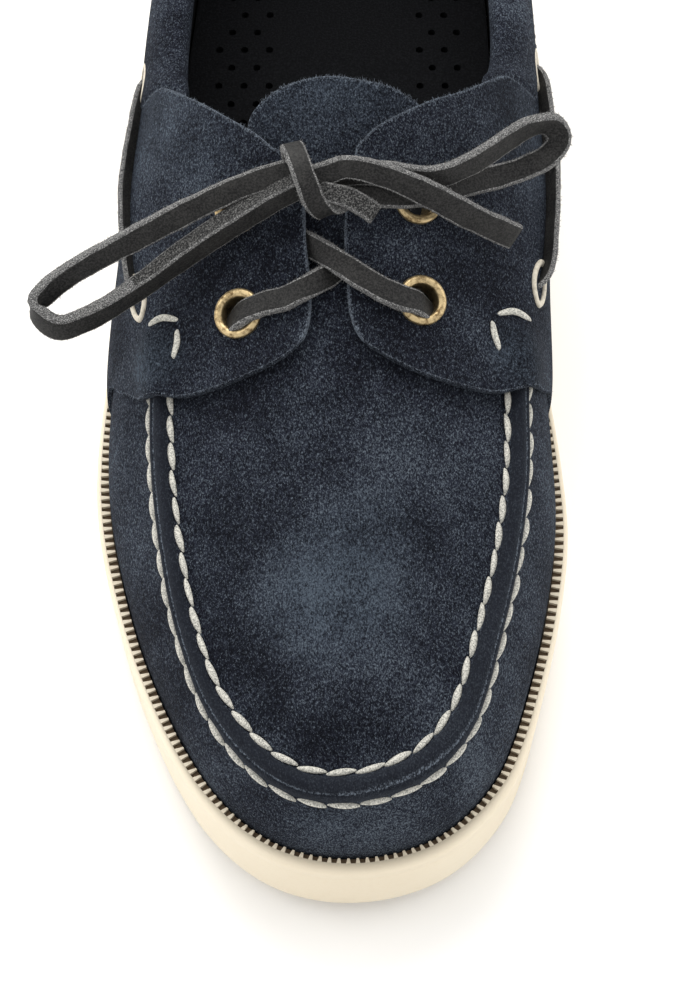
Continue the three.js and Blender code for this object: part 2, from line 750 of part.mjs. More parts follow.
// Cup sole: bottom edge, side, the step under the rim, the rim and the cup inside it
function makeOutsole() {
  const under = (rise) => (along) => underside(along) + rise;
  const top = (drop) => (along) => rimTop(along) - drop;
  const rings = [
    soleRing(() => SOLE_EDGE + STEP_DEPTH, under(0)),
    soleRing(() => STEP_DEPTH, under(SOLE_EDGE)),
    soleRing(() => STEP_DEPTH, top(STEP_HEIGHT + STEP_DEPTH / 2)),
    soleRing(() => 0, top(STEP_HEIGHT)),
    soleRing(() => 0, top(STEP_DEPTH)),
    soleRing(() => STEP_DEPTH, top(0)),
    soleRing(rimWidth, top(0)),
    soleRing(rimWidth, top(CUP_DEPTH)),
  ];
  return soleSolid(rings);
}

function makeInsole() {
  const inset = (along) => rimWidth(along) + 2 * GAP + WALL;
  const floor = (rise) => (along) => rimTop(along) - CUP_DEPTH + rise;
  return soleSolid([soleRing(inset, floor(GAP)), soleRing(inset, floor(GAP + INSOLE))]);
}

// Where the eyelets stand on the last
const EYELET_SEATS = EYELETS.map((eyelet) => {
  const seat = surfaceAt(eyelet.out * BALL_WIDTH, yOf(eyelet.along));
  const turn = new THREE.Quaternion().setFromUnitVectors(new THREE.Vector3(0, 1, 0), seat.normal);
  return { name: eyelet.name, point: seat.point, turn };
});
const BARREL_RADIUS = EYELET_BORE + BARREL_WALL;
const FLAP_TOP = GAP + QUARTER;

function makeEyelet() {
  const under = FLAP_TOP + 2 * GAP;
  const end = -(WALL + 3 * GAP);
  const rolled = FLANGE_HEIGHT / 2;
  const profile = [
    [EYELET_BORE, end],
    [BARREL_RADIUS, end],
    [BARREL_RADIUS, under],
    [EYELET_RADIUS - GAP, under],
    [EYELET_RADIUS, under + rolled / 2],
    [EYELET_RADIUS - rolled, under + FLANGE_HEIGHT],
    [EYELET_BORE + rolled, under + FLANGE_HEIGHT],
    [EYELET_BORE, under + rolled],
    [EYELET_BORE, end],
  ].map(([radius, height]) => new THREE.Vector2(radius, height));
  return new THREE.LatheGeometry(profile, EYELET_SIDES);
}

// The holes that the eyelets pass through in the flaps and the upper
function eyeletHoles() {
  const depth = 4 * (WALL + QUARTER + GAP);
  const holes = EYELET_SEATS.map((seat) => {
    const geometry = new THREE.CylinderGeometry(BARREL_RADIUS + GAP, BARREL_RADIUS + GAP, depth, EYELET_SIDES);
    geometry.applyQuaternion(seat.turn);
    geometry.translate(seat.point.x, seat.point.y, seat.point.z);
    return solidFrom(geometry);
  });
  return wasm.Manifold.union(holes);
}

const HOLES = eyeletHoles();

// The throat of the upper, under the flaps, from the end of the plug back into the collar
function throatCutter() {
  const middle = spineX(THROAT.middle);
  const half = THROAT_WIDTH / 2;
  const front = yOf(THROAT.front);
  const back = yOf(THROAT.back);
  const corners = [
    [middle - half, back],
    [middle - half, front + half / 2],
    [middle - half / 2, front],
    [middle + half / 2, front],
    [middle + half, front + half / 2],
    [middle + half, back],
  ];
  return prismUp(corners, 0, 2 * INSTEP_HEIGHT);
}

function makeUpper() {
  return lastSolid(0, 1, GAP)
    .subtract(lastSolid(-WALL, RIDGE_INSIDE, -CUP_DEPTH))
    .subtract(aboveTopLine('lateral', TOP_LAP))
    .subtract(aboveTopLine('medial', TOP_LAP))
    .subtract(throatCutter())
    .subtract(HOLES);
}

// Each quarter is a shell over the upper, cut by its flap's edge, the heel seam and the top line
function makeQuarter(side, rows, sign) {
  const heelSeam = spineX(1) + sign * GAP / 2;
  const edge = smoothEdge(rows);
  const frontEnd = edge[edge.length - 1][1] + RIM_HEIGHT / 3;
  const corners = [
    ...edge,
    [sign * BALL_WIDTH, frontEnd],
    [sign * BALL_WIDTH, yOf(BEHIND_HEEL)],
    [heelSeam, yOf(BEHIND_HEEL)],
    [heelSeam, yOf(HEEL_SEAM_START)],
  ];
  const region = prismUp(corners, 0, 2 * INSTEP_HEIGHT);
  return lastSolid(FLAP_TOP, 1, 0)
    .subtract(lastSolid(GAP, 1, -CUP_DEPTH))
    .intersect(region)
    .subtract(belowQuarters())
    .subtract(aboveTopLine(side, 0))
    .subtract(HOLES);
}

// Everything below the quarters' lower edge, which lies just over the rim
function belowQuarters() {
  const wider = () => -2 * RIM_WIDTH;
  return soleSolid([
    soleRing(wider, (along) => rimTop(along) - 2 * CUP_DEPTH),
    soleRing(wider, (along) => rimTop(along) + GAP),
  ]);
}

function makeTongue() {
  const middle = spineX(THROAT.middle);
  const corners = TONGUE_PLAN.map((row) => [middle + row.out * BALL_WIDTH, yOf(row.along)]);
  const outer = -(WALL + GAP);
  return lastSolid(outer, 0, 0)
    .subtract(lastSolid(outer - TONGUE, 0, -CUP_DEPTH))
    .intersect(prismUp(corners, SEAM_HEIGHT, 2 * INSTEP_HEIGHT));
}

// The station where a side's wall, at a height, comes to a share of the length
function stationAt(side, along, height) {
  let low = side === 'lateral' ? STATIONS * 0.2 : STATIONS * 1.8;
  let high = STATIONS;
  for (let round = 0; round < SEARCH_ROUNDS; round += 1) {
    const middle = (low + high) / 2;
    const rib = ribAt(middle);
    if (alongOf(onRib(rib, inAt(rib, height), 0).y) < along) low = middle;
    else high = middle;
  }
  return (low + high) / 2;
}

// One cross section of the padded collar at a station
function collarSection(station) {
  const rib = ribAt(station);
  const side = station < STATIONS ? 'lateral' : 'medial';
  const guess = onRib(rib, inAt(rib, INSTEP_HEIGHT / 2), 0);
  const top = topHeight(side, alongOf(guess.y));
  const bottom = top - COLLAR_HEIGHT + 2.5 * GAP;
  return COLLAR_PROFILE.map(({ inset, up }) => {
    const height = THREE.MathUtils.lerp(bottom, top, up);
    return onRib(rib, inAt(rib, height) - FLAP_TOP + inset * COLLAR_THICKNESS, height);
  });
}

function makeCollar() {
  const start = COLLAR_START + 2 * GAP / LENGTH + COLLAR_THICKNESS / LENGTH / 8;
  const from = stationAt('lateral', start, topHeight('lateral', COLLAR_START));
  const to = stationAt('medial', start, topHeight('medial', COLLAR_START));
  const sections = [];
  for (let step = 0; step <= ROLL_STEPS; step += 1) {
    sections.push(collarSection(THREE.MathUtils.lerp(from, to, step / ROLL_STEPS)));
  }
  return tubeSolid(sections);
}

// A solid through rings of equal size with flat ends
function tubeSolid(rings) {
  const size = rings[0].length;
  const points = rings.flat();
  const faces = ringFaces(rings.length, size, false);
  const end = (rings.length - 1) * size;
  for (let corner = 1; corner < size - 1; corner += 1) {
    faces.push([0, corner + 1, corner], [end, end + corner, end + corner + 1]);
  }
  return solidOf(points, faces);
}

// A flat thong along a route, its faces turned up as far as the route allows
function thong(route) {
  const curve = new THREE.CatmullRomCurve3(route, false, 'centripetal');
  const steps = Math.ceil(curve.getLength() / LACE_STEP);
  const corner = LACE_THICKNESS / 4;
  const [wide, thick] = [LACE_WIDTH / 2, LACE_THICKNESS / 2];
  const section = [
    [-wide, -thick + corner], [-wide + corner, -thick], [wide - corner, -thick], [wide, -thick + corner],
    [wide, thick - corner], [wide - corner, thick], [-wide + corner, thick], [-wide, thick - corner],
  ];
  const rings = [];
  for (let step = 0; step <= steps; step += 1) {
    const point = curve.getPointAt(step / steps);
    const tangent = curve.getTangentAt(step / steps);
    const across = new THREE.Vector3(0, 0, 1).cross(tangent).normalize();
    const up = tangent.clone().cross(across);
    rings.push(section.map(([a, b]) => point.clone().addScaledVector(across, a).addScaledVector(up, b)));
  }
  return tubeSolid(rings);
}

function routeOf(points) {
  return points.map(([x, fromToe, z]) => new THREE.Vector3(x, fromToe - LENGTH / 2, z));
}

// A bar's route over the last
function barRoute(rows) {
  return rows.map((row) => {
    const { point } = surfaceAt(spineX(THROAT.middle) + row.out * BALL_WIDTH, yOf(row.along));
    point.z += FLAP_TOP + row.lift * LACE_THICKNESS;
    return point;
  });
}

function makeCrossing() {
  return thong(barRoute(LOWER_BAR)).add(thong(barRoute(UPPER_BAR)));
}

// The lace along the outside of a quarter, flat against it
function makeSideLace(side) {
  const seat = FLAP_TOP + 1.5 * GAP;
  const outer = seat + LACE_THICKNESS;
  const rings = [];
  const [front, rear] = [SIDE_LACE[0].along, SIDE_LACE[SIDE_LACE.length - 1].along];
  for (let step = 0; step <= SIDE_LACE_STEPS; step += 1) {
    const along = THREE.MathUtils.lerp(front, rear, step / SIDE_LACE_STEPS);
    const height = readRow(SIDE_LACE, 'up', along) * INSTEP_HEIGHT;
    const rib = ribAt(stationAt(side, along, height));
    const [low, high] = [height - LACE_WIDTH / 2, height + LACE_WIDTH / 2];
    rings.push([
      offRib(rib, low, seat),
      offRib(rib, low, outer),
      offRib(rib, height, outer),
      offRib(rib, high, outer),
      offRib(rib, high, seat),
      offRib(rib, height, seat),
    ]);
  }
  return tubeSolid(rings);
}

function makeCord(points) {
  const route = new THREE.CatmullRomCurve3(routeOf(points), false, 'centripetal');
  const section = new THREE.Shape();
  for (let side = 0; side < CORD_SIDES; side += 1) {
    const angle = side / CORD_SIDES * 2 * Math.PI;
    const [x, y] = [Math.cos(angle) * CORD_RADIUS, Math.sin(angle) * CORD_RADIUS];
    if (side === 0) section.moveTo(x, y);
    else section.lineTo(x, y);
  }
  section.closePath();
  const steps = Math.ceil(route.getLength() / LACE_STEP);
  return new THREE.ExtrudeGeometry(section, { steps, extrudePath: route, bevelEnabled: false });
}

function makeKnot() {
  const corners = KNOT.map(([fromToe, z]) => [fromToe - LENGTH / 2, z]);
  return prismAcross(corners, KNOT_START, KNOT_START + KNOT_WIDTH);
}

addMesh('outsole', geometryFrom(makeOutsole()), RUBBER);
addMesh('insole', geometryFrom(makeInsole()), LINING);
addMesh('upper', geometryFrom(makeUpper()), SUEDE);
addMesh('quarter_lateral', geometryFrom(makeQuarter('lateral', LATERAL_FLAP, -1)), SUEDE);
addMesh('quarter_medial', geometryFrom(makeQuarter('medial', MEDIAL_FLAP, 1)), SUEDE);
addMesh('collar', geometryFrom(makeCollar()), SUEDE);
addMesh('tongue', geometryFrom(makeTongue()), SUEDE);
for (const seat of EYELET_SEATS) {
  const eyelet = addMesh(seat.name, makeEyelet(), BRASS);
  eyelet.position.copy(seat.point);
  eyelet.quaternion.copy(seat.turn);
}
addMesh('lace_crossing', geometryFrom(makeCrossing()), LEATHER);
addMesh('lace_side_lateral', geometryFrom(makeSideLace('lateral')), LEATHER);
addMesh('lace_side_medial', geometryFrom(makeSideLace('medial')), LEATHER);
addMesh('lace_knot', geometryFrom(makeKnot()), LEATHER);
for (const [name, points] of Object.entries(CORDS)) addMesh(name, makeCord(points), LEATHER);

export default object;
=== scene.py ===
import math
import random

import bmesh
import bpy
import numpy as np
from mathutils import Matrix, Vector
from mathutils.bvhtree import BVHTree


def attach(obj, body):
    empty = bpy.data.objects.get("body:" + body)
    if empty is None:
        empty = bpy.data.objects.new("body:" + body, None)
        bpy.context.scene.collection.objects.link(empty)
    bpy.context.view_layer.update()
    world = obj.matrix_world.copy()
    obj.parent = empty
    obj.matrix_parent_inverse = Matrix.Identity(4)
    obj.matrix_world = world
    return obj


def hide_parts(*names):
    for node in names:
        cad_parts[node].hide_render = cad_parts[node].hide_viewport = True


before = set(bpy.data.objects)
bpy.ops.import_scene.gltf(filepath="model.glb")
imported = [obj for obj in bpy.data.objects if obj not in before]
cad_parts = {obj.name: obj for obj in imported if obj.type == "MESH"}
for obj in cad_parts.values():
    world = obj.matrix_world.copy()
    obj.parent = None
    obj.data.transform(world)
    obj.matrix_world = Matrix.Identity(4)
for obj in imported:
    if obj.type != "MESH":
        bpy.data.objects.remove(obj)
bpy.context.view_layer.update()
scene = bpy.context.scene
MM = 0.001

# The camera looks down on the toe from in front, from far enough off that the shoe hardly
# narrows towards the heel.
LOOK_AT = Vector((2.6, -56.5, 20.0)) * MM
VIEW_ELEVATION = math.radians(61)
VIEW_DISTANCE = 650 * MM

camera = bpy.data.objects.new("photo_camera", bpy.data.cameras.new("photo_camera"))
camera.data.sensor_width = 36
camera.data.lens = 102.96
camera.location = LOOK_AT + VIEW_DISTANCE * Vector((0, -math.cos(VIEW_ELEVATION), math.sin(VIEW_ELEVATION)))
camera.rotation_euler = (math.radians(90) - VIEW_ELEVATION, 0, 0)
scene.collection.objects.link(camera)
scene.camera = camera

# A plain pale floor under soft studio light: one wide lamp above the heel, a weaker one on
# each side, and a bright room all round.
FLOOR_SIZE = 4.0
FLOOR_COLOUR = (0.97, 0.965, 0.955, 1)


class Wire:
    """A socket of a finish. A sum written with wires adds the nodes that work it out."""

    def __init__(self, tree, socket=None):
        self.tree = tree
        self.socket = socket

    def node(self, kind, settings=None, sockets=None, out=0):
        made = self.tree.nodes.new(kind)
        for name, setting in (settings or {}).items():
            setattr(made, name, setting)
        for name, value in (sockets or {}).items():
            if isinstance(value, Wire):
                self.tree.links.new(value.socket, made.inputs[name])
            else:
                made.inputs[name].default_value = value
        return Wire(self.tree, made.outputs[out])

    def maths(self, operation, *values):
        return self.node("ShaderNodeMath", {"operation": operation}, dict(enumerate(values)))

    def __add__(self, other):
        return self.maths("ADD", self, other)

    def __sub__(self, other):
        return self.maths("SUBTRACT", self, other)

    def __rsub__(self, other):
        return self.maths("SUBTRACT", other, self)

    def __mul__(self, other):
        return self.maths("MULTIPLY", self, other)

    __radd__ = __add__
    __rmul__ = __mul__

    def ease(self, low, high):
        """0 below low, 1 above high and smooth between."""
        sockets = {"Value": self, "From Min": low, "From Max": high}
        return self.node("ShaderNodeMapRange", {"interpolation_type": "SMOOTHSTEP"}, sockets)

    def blend(self, first, second):
        """The first colour where the wire is 0, the second where it is 1."""
        sockets = {0: self, 6: first, 7: second}
        return self.node("ShaderNodeMix", {"data_type": "RGBA"}, sockets, out=2)

    def stretched(self, scale):
        """The place on the object, in metres, with each direction scaled."""
        return self.node("ShaderNodeVectorMath", {"operation": "MULTIPLY"}, {0: self, 1: scale})

    def grain(self, size, detail=2.0, rough=0.5):
        """Soft spots of about that size in millimetres."""
        sockets = {"Vector": self, "Scale": 1 / (size * MM), "Detail": detail, "Roughness": rough}
        return self.node("ShaderNodeTexNoise", {}, sockets)

    def bump(self, height, strength):
        """The surface's direction with a relief of that height in millimetres."""
        sockets = {"Height": self, "Strength": strength, "Distance": height * MM}
        return self.node("ShaderNodeBump", {}, sockets)

    def feed(self, shader, socket):
        self.tree.links.new(self.socket, shader.inputs[socket])


def new_finish(name, roughness):
    """A finish with its shader, and a wire that holds the place on the object."""
    finish = bpy.data.materials.new(name)
    finish.use_nodes = True
    shader = finish.node_tree.nodes["Principled BSDF"]
    shader.inputs["Roughness"].default_value = roughness
    place = Wire(finish.node_tree).node("ShaderNodeTexCoord", out="Object")
    return finish, shader, place


floor_mesh = bpy.data.meshes.new("floor")
half = FLOOR_SIZE / 2
floor_mesh.from_pydata([(-half, -half, 0), (half, -half, 0), (half, half, 0), (-half, half, 0)], [], [(0, 1, 2, 3)])
floor = bpy.data.objects.new("floor", floor_mesh)
scene.collection.objects.link(floor)
paper, paper_shader, paper_place = new_finish("backdrop_paper", 0.9)
paper_shader.inputs["Base Color"].default_value = FLOOR_COLOUR
floor_mesh.materials.append(paper)

world = bpy.data.worlds.new("studio")
world.use_nodes = True
world.node_tree.nodes["Background"].inputs["Color"].default_value = (1.0, 1.0, 1.0, 1)
world.node_tree.nodes["Background"].inputs["Strength"].default_value = 0.95
scene.world = world
scene.view_settings.view_transform = "Standard"


def add_lamp(name, place, size, power, colour):
    lamp = bpy.data.lights.new(name, "AREA")
    lamp.size = size
    lamp.energy = power
    lamp.color = colour
    holder = bpy.data.objects.new(name, lamp)
    holder.location = place
    holder.rotation_euler = (LOOK_AT - Vector(place)).to_track_quat("-Z", "Y").to_euler()
    scene.collection.objects.link(holder)


add_lamp("lamp_over_heel", (-0.12, 0.7, 0.95), 0.8, 9, (1.0, 0.985, 0.96))
add_lamp("lamp_on_lateral_side", (-0.95, 0.15, 0.5), 0.7, 3.0, (1.0, 0.99, 0.98))
add_lamp("lamp_on_medial_side", (0.95, 0.15, 0.5), 0.7, 2.0, (1.0, 0.99, 0.98))

# The bow is one thong of oiled leather, 5.4 mm wide and 2.1 mm thick, smooth on its grain
# side and fuzzy on its cut edges. It lies as it was tied, in the places of the CAD cords.
LENGTH = 298.0
LACE_WIDTH = 5.4
LACE_THICKNESS = 2.1
LACE_STEP = 0.9
BEVEL = 0.5
LACE_COLOUR = (0.002, 0.002, 0.0024, 1)
LACE_SHEEN_COLOUR = (0.042, 0.041, 0.039, 1)
FLESH_COLOUR = (0.045, 0.045, 0.046, 1)
FLESH_FIBRE_COLOUR = (0.58, 0.575, 0.56, 1)
NAP_FIBRE_COLOUR = (0.215, 0.213, 0.207, 1)
SPLIT_FROM = 3.4
FIBRE_WIDTH = 0.075
FIBRES_PER_MM = 9


def smooth_line(points, count, closed=False):
    """A smooth line through given points, as that many evenly spaced ones."""
    given = np.array(points, float)
    if closed:
        ends = np.vstack([given[-1:], given, given[:2]])
    else:
        ends = np.vstack([2 * given[:1] - given[1:2], given, 2 * given[-1:] - given[-2:-1]])
    dense = []
    share = np.linspace(0, 1, 40, endpoint=False)[:, None]
    for first in range(len(ends) - 3):
        a, b, c, d = ends[first:first + 4]
        before, span, after = (math.sqrt(np.linalg.norm(q - p)) for p, q in ((a, b), (b, c), (c, d)))
        leave = ((b - a) / before - (c - a) / (before + span)) * span + (c - b)
        arrive = (c - b) + ((d - c) / after - (d - b) / (span + after)) * span
        square, cube = share ** 2, share ** 3
        dense.append((2 * cube - 3 * square + 1) * b + (cube - 2 * square + share) * leave
                     + (3 * square - 2 * cube) * c + (cube - square) * arrive)
    dense = np.vstack(dense + [ends[-2:-1]])
    walked = np.concatenate([[0], np.cumsum(np.linalg.norm(np.diff(dense, axis=0), axis=1))])
    wanted = np.linspace(0, walked[-1], count, endpoint=not closed)
    return np.stack([np.interp(wanted, walked, dense[:, axis]) for axis in range(dense.shape[1])], axis=1)


def line_length(line):
    return float(np.linalg.norm(np.diff(line, axis=0), axis=1).sum())


def unit(vectors):
    return vectors / np.maximum(np.linalg.norm(vectors, axis=-1, keepdims=True), 1e-9)


def make_piece(name, points, faces, finishes, looks=None, node=None):
    """A smooth mesh piece from points in millimetres, in the place of a CAD node if it has one."""
    mesh = bpy.data.meshes.new(name)
    mesh.from_pydata((np.asarray(points, float) * MM).tolist(), [], faces)
    for finish in finishes:
        mesh.materials.append(finish)
    if looks is not None:
        mesh.polygons.foreach_set("material_index", np.asarray(looks, np.int32))
    mesh.polygons.foreach_set("use_smooth", np.ones(len(mesh.polygons), bool))
    mesh.update()
    shape = bmesh.new()
    shape.from_mesh(mesh)
    bmesh.ops.recalc_face_normals(shape, faces=shape.faces)
    shape.to_mesh(mesh)
    shape.free()
    piece = bpy.data.objects.new(name, mesh)
    scene.collection.objects.link(piece)
    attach(piece, "root")
    if node:
        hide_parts(node)
    return piece


def ring_faces(rings, size, first=0, closed=False):
    faces = []
    for ring in range(rings if closed else rings - 1):
        start, following = first + ring * size, first + (ring + 1) % rings * size
        for corner in range(size):
            onward = (corner + 1) % size
            faces.append((start + corner, start + onward, following + onward, following + corner))
    return faces


def add_fibre(points, faces, root, outward, draw, length):
    """One loose fibre of a raw edge: a thin closed spike on a point, its foot in the material."""
    stray = np.array([draw.gauss(0, 0.55) for _ in range(3)])
    way = unit(outward + stray)
    side = unit(np.cross(way, (0.31, 0.52, 0.8)))
    other = np.cross(way, side)
    first = len(points)
    reach = length * (0.35 + draw.random() ** 2)
    for turn in (0, 2.094, 4.189):
        points.append(root - way * 0.12 + FIBRE_WIDTH * (side * math.cos(turn) + other * math.sin(turn)))
    points.append(root + way * reach + stray * 0.12)
    faces += [(first, first + 2, first + 1), (first, first + 1, first + 3), (first + 1, first + 2, first + 3), (first + 2, first, first + 3)]


def strap_section(wide, thick):
    """Sixteen corners of a flat thong with worn edges, from its half width and half thickness."""
    corner = [(wide, thick - BEVEL), (wide - 0.3 * BEVEL, thick - 0.3 * BEVEL), (wide - BEVEL, thick), (wide / 3, thick)]
    top = corner + [(-a, b) for a, b in corner[::-1]]
    return top + [(a, -b) for a, b in top[::-1]]


def strap_mesh(route, faces_to, seed, flesh_over=False, thick=LACE_THICKNESS, width=LACE_WIDTH, length_step=LACE_STEP):
    """Rings round a flat thong. faces_to says which way its width runs at each point of the route."""
    total = line_length(smooth_line(route, 200))
    count = max(8, int(total / length_step))
    line = smooth_line(route, count)
    hints = np.array(faces_to, float)
    if hints.ndim == 1:
        hints = np.repeat(hints[None], count, axis=0)
    else:
        places = np.linspace(0, 1, len(hints))
        wanted = np.linspace(0, 1, count)
        hints = np.stack([np.interp(wanted, places, hints[:, axis]) for axis in range(3)], axis=1)
    tangent = unit(np.gradient(line, axis=0))
    across = unit(hints - tangent * (hints * tangent).sum(1, keepdims=True))
    out = np.cross(tangent, across)
    thick_halves, wide_halves = (
        np.interp(np.linspace(0, 1, count), np.linspace(0, 1, np.size(given)), np.atleast_1d(given)) / 2 for given in (thick, width)
    )
    size = 16
    draw = random.Random(seed)
    wander = [draw.uniform(0, 6.28) for _ in range(3)]
    points = []
    for index in range(count):
        walk = index * total / count
        swell = 1 + 0.035 * math.sin(walk / 6 + wander[0]) + 0.02 * math.sin(walk / 1.7 + wander[1])
        rough = 0.04 * math.sin(walk / 0.9 + wander[2])
        for a, b in strap_section(wide_halves[index], thick_halves[index]):
            points.append(line[index] + across[index] * (a * swell + rough * (abs(a) > 2)) + out[index] * b)
    faces = ring_faces(count, size)
    looks = []
    for ring in range(count - 1):
        for corner in range(size):
            if corner in (10, 11, 12) or corner in (2, 3, 4) and not flesh_over:
                looks.append(0)
            elif corner in (2, 3, 4) or corner in (7, 15) and 2 * thick_halves[ring] > SPLIT_FROM:
                looks.append(2)
            else:
                looks.append(1)
    faces.append(tuple(range(size)))
    faces.append(tuple(range((count - 1) * size, count * size)))
    looks += [1, 1]
    for _ in range(int(total * FIBRES_PER_MM)):
        ring = draw.randrange(1, count - 1)
        root = np.array(points[ring * size + draw.choice((0, 1, 6, 7, 8, 9, 14, 15))])
        root += (line[ring] - line[ring - 1]) * draw.uniform(-0.5, 0.5)
        add_fibre(points, faces, root, unit(root - line[ring]), draw, 0.6)
        looks += [1, 1, 1, 1]
    return points, faces, looks, line


def routed(points):
    """A route given as across, from the toe tip and up, in the frame of the shoe."""
    return [(x, d - LENGTH / 2, z) for x, d, z in points]


lace_grain, grain_shader, place = new_finish("lace_grain", 0.55)
pores = place.grain(0.42, 3, 0.7)
oil = place.grain(7, 2, 0.5)
(pores.ease(0.36, 0.68) * 0.7 + oil.ease(0.4, 0.7) * 0.2).blend(LACE_COLOUR, LACE_SHEEN_COLOUR).feed(grain_shader, "Base Color")
(0.48 + pores * 0.2).feed(grain_shader, "Roughness")
grain_shader.inputs["Specular IOR Level"].default_value = 0.22
pores.bump(0.08, 0.5).feed(grain_shader, "Normal")

lace_flesh, flesh_shader, place = new_finish("lace_flesh", 0.95)
fluff = place.grain(0.3, 4, 0.75)
fluff.ease(0.42, 0.74).blend(FLESH_COLOUR, FLESH_FIBRE_COLOUR).feed(flesh_shader, "Base Color")
fluff.bump(0.4, 0.9).feed(flesh_shader, "Normal")
lace_nap, nap_shader, place = new_finish("lace_nap", 0.95)
fluff = place.grain(0.36, 3, 0.7)
fluff.ease(0.42, 0.74).blend(LACE_COLOUR, NAP_FIBRE_COLOUR).feed(nap_shader, "Base Color")
fluff.bump(0.35, 0.9).feed(nap_shader, "Normal")
LACE = [lace_grain, lace_flesh, lace_nap]

LOOP_LATERAL = [
    (-5.5, 135.8, 88.0), (-10.3, 135.4, 86.8), (-18.3, 134.4, 84), (-29.7, 131.8, 78.9), (-42.5, 127.4, 73.9),
    (-54.9, 122.8, 69), (-60.9, 119.8, 66), (-64.2, 116.2, 64), (-59.8, 112.2, 62), (-52.6, 114.0, 63),
    (-42.7, 119.2, 66), (-33, 124.6, 70.5), (-23.2, 128.5, 76.4), (-15.5, 131.0, 81.0), (-10.3, 132.4, 84.2), (-6.0, 133.8, 85.6),
]
LOOP_MEDIAL = [
    (-1.5, 135.4, 86.0), (6, 136.2, 86.0), (13, 136.3, 85.4), (21.7, 136.4, 83.8), (30.3, 141.2, 82.2),
    (43.8, 151.4, 82), (48.4, 153.0, 80.4), (50.2, 151.2, 78), (48.2, 148.4, 75.8), (41.2, 144.8, 74.8),
    (31.6, 140.6, 76.4), (21.6, 136.0, 78.6), (12.8, 133.6, 81.0), (5, 133.2, 82.4), (-0.5, 133.2, 82.8),
]
END_LONG = [
    (-6.5, 132.2, 88.4), (-0.5, 133.6, 89.8), (3.6, 134.4, 90.6), (12.3, 133.1, 89), (20.8, 131.6, 84.8), (30.3, 131.2, 76.8),
    (40.3, 132.2, 67.6),
]
END_SHORT = [
    (-19.5, 131.6, 78.0), (-15.5, 133.0, 80.2), (-12, 133.9, 82.4), (-7, 133.4, 85.0), (-4, 131.8, 86.6),
    (-0.5, 130.4, 87), (3, 129.9, 86.2), (6.5, 129.1, 84.4), (9.6, 127.8, 82.4),
]
WRAP = [
    (-4.6, 136.0, 81.6), (-7.2, 139.4, 82.6), (-8.4, 141.2, 86.2), (-8.3, 140.0, 90.0), (-7.5, 137.0, 92.4),
    (-6.3, 133.0, 92.6), (-4.9, 129.8, 90.6), (-3.4, 127.8, 87.2), (-1.2, 127.8, 83.8), (2.2, 130.4, 81.6),
]
WRAP_WIDTH = 4.7
LONG_END_WIDTH = (5.2, 5.4, 6.0, 6.2)
SHORT_END_WIDTH = 4.5
LATERAL_THICK = (2.2, 2.2, 2.4, 2.5, 2.6, 3.0, 3.9, 4.4, 4.4)

# Which way the strap's width runs, in even steps from the start of each loop to its end
LATERAL_LEAN = [
    (0, 0.75, 0.66), (0, 0.66, 0.75), (0, 0.5, 0.87), (0, 0.35, 0.94), (0, 0.25, 0.97), (0, 0.1, 0.99), (0, 0.1, 0.99), (0, 0.15, 0.98),
]
MEDIAL_LEAN = [
    (0, 0.5, 0.85), (0, 0.45, 0.9), (0, 0.4, 0.92), (0, 0.4, 0.92), (0, 0.4, 0.92), (0.25, 0.35, 0.9), (1, 0.1, 0.3),
    (0.6, -0.7, -0.3), (0.2, -0.85, -0.47), (0.2, -0.85, -0.47), (0.2, -0.85, -0.47), (0.2, -0.85, -0.47), (0.2, -0.85, -0.47),
]

knot_points, knot_faces, knot_looks, _ = strap_mesh(routed(WRAP), (1, 0.35, -0.1), 5, width=WRAP_WIDTH)
knot = make_piece("bow_knot", knot_points, knot_faces, LACE, knot_looks, node="lace_knot")

cord_pieces = {}
for name, node, route, faces_to, flesh_over, thick, width in (
    ("bow_loop_lateral", "lace_loop_lateral", LOOP_LATERAL, LATERAL_LEAN, False, LATERAL_THICK, LACE_WIDTH),
    ("bow_loop_medial", "lace_loop_medial", LOOP_MEDIAL, MEDIAL_LEAN, False, 2.1, LACE_WIDTH),
    ("bow_end_long", "lace_end_long", END_LONG, (0.25, 0.5, 0.85), False, 1.9, LONG_END_WIDTH),
    ("bow_end_short", "lace_end_short", END_SHORT, (0.2, 0.85, 0.5), True, LACE_THICKNESS, SHORT_END_WIDTH),
):
    points, faces, looks, line = strap_mesh(routed(route), faces_to, len(name), flesh_over, thick, width)
    piece = make_piece(name, points, faces, LACE, looks, node=node)
    cord_pieces[name] = (piece, line)

for name, far_end in (
    ("bow_loop_lateral", "knot"),
    ("bow_loop_medial", "knot"),
    ("bow_end_long", "bare"),
    ("bow_end_short", "bare"),
):
    piece, line = cord_pieces[name]
    (line[0] * MM).tolist()
    (line * MM).tolist()
    [knot] if name == "bow_loop_lateral" else []

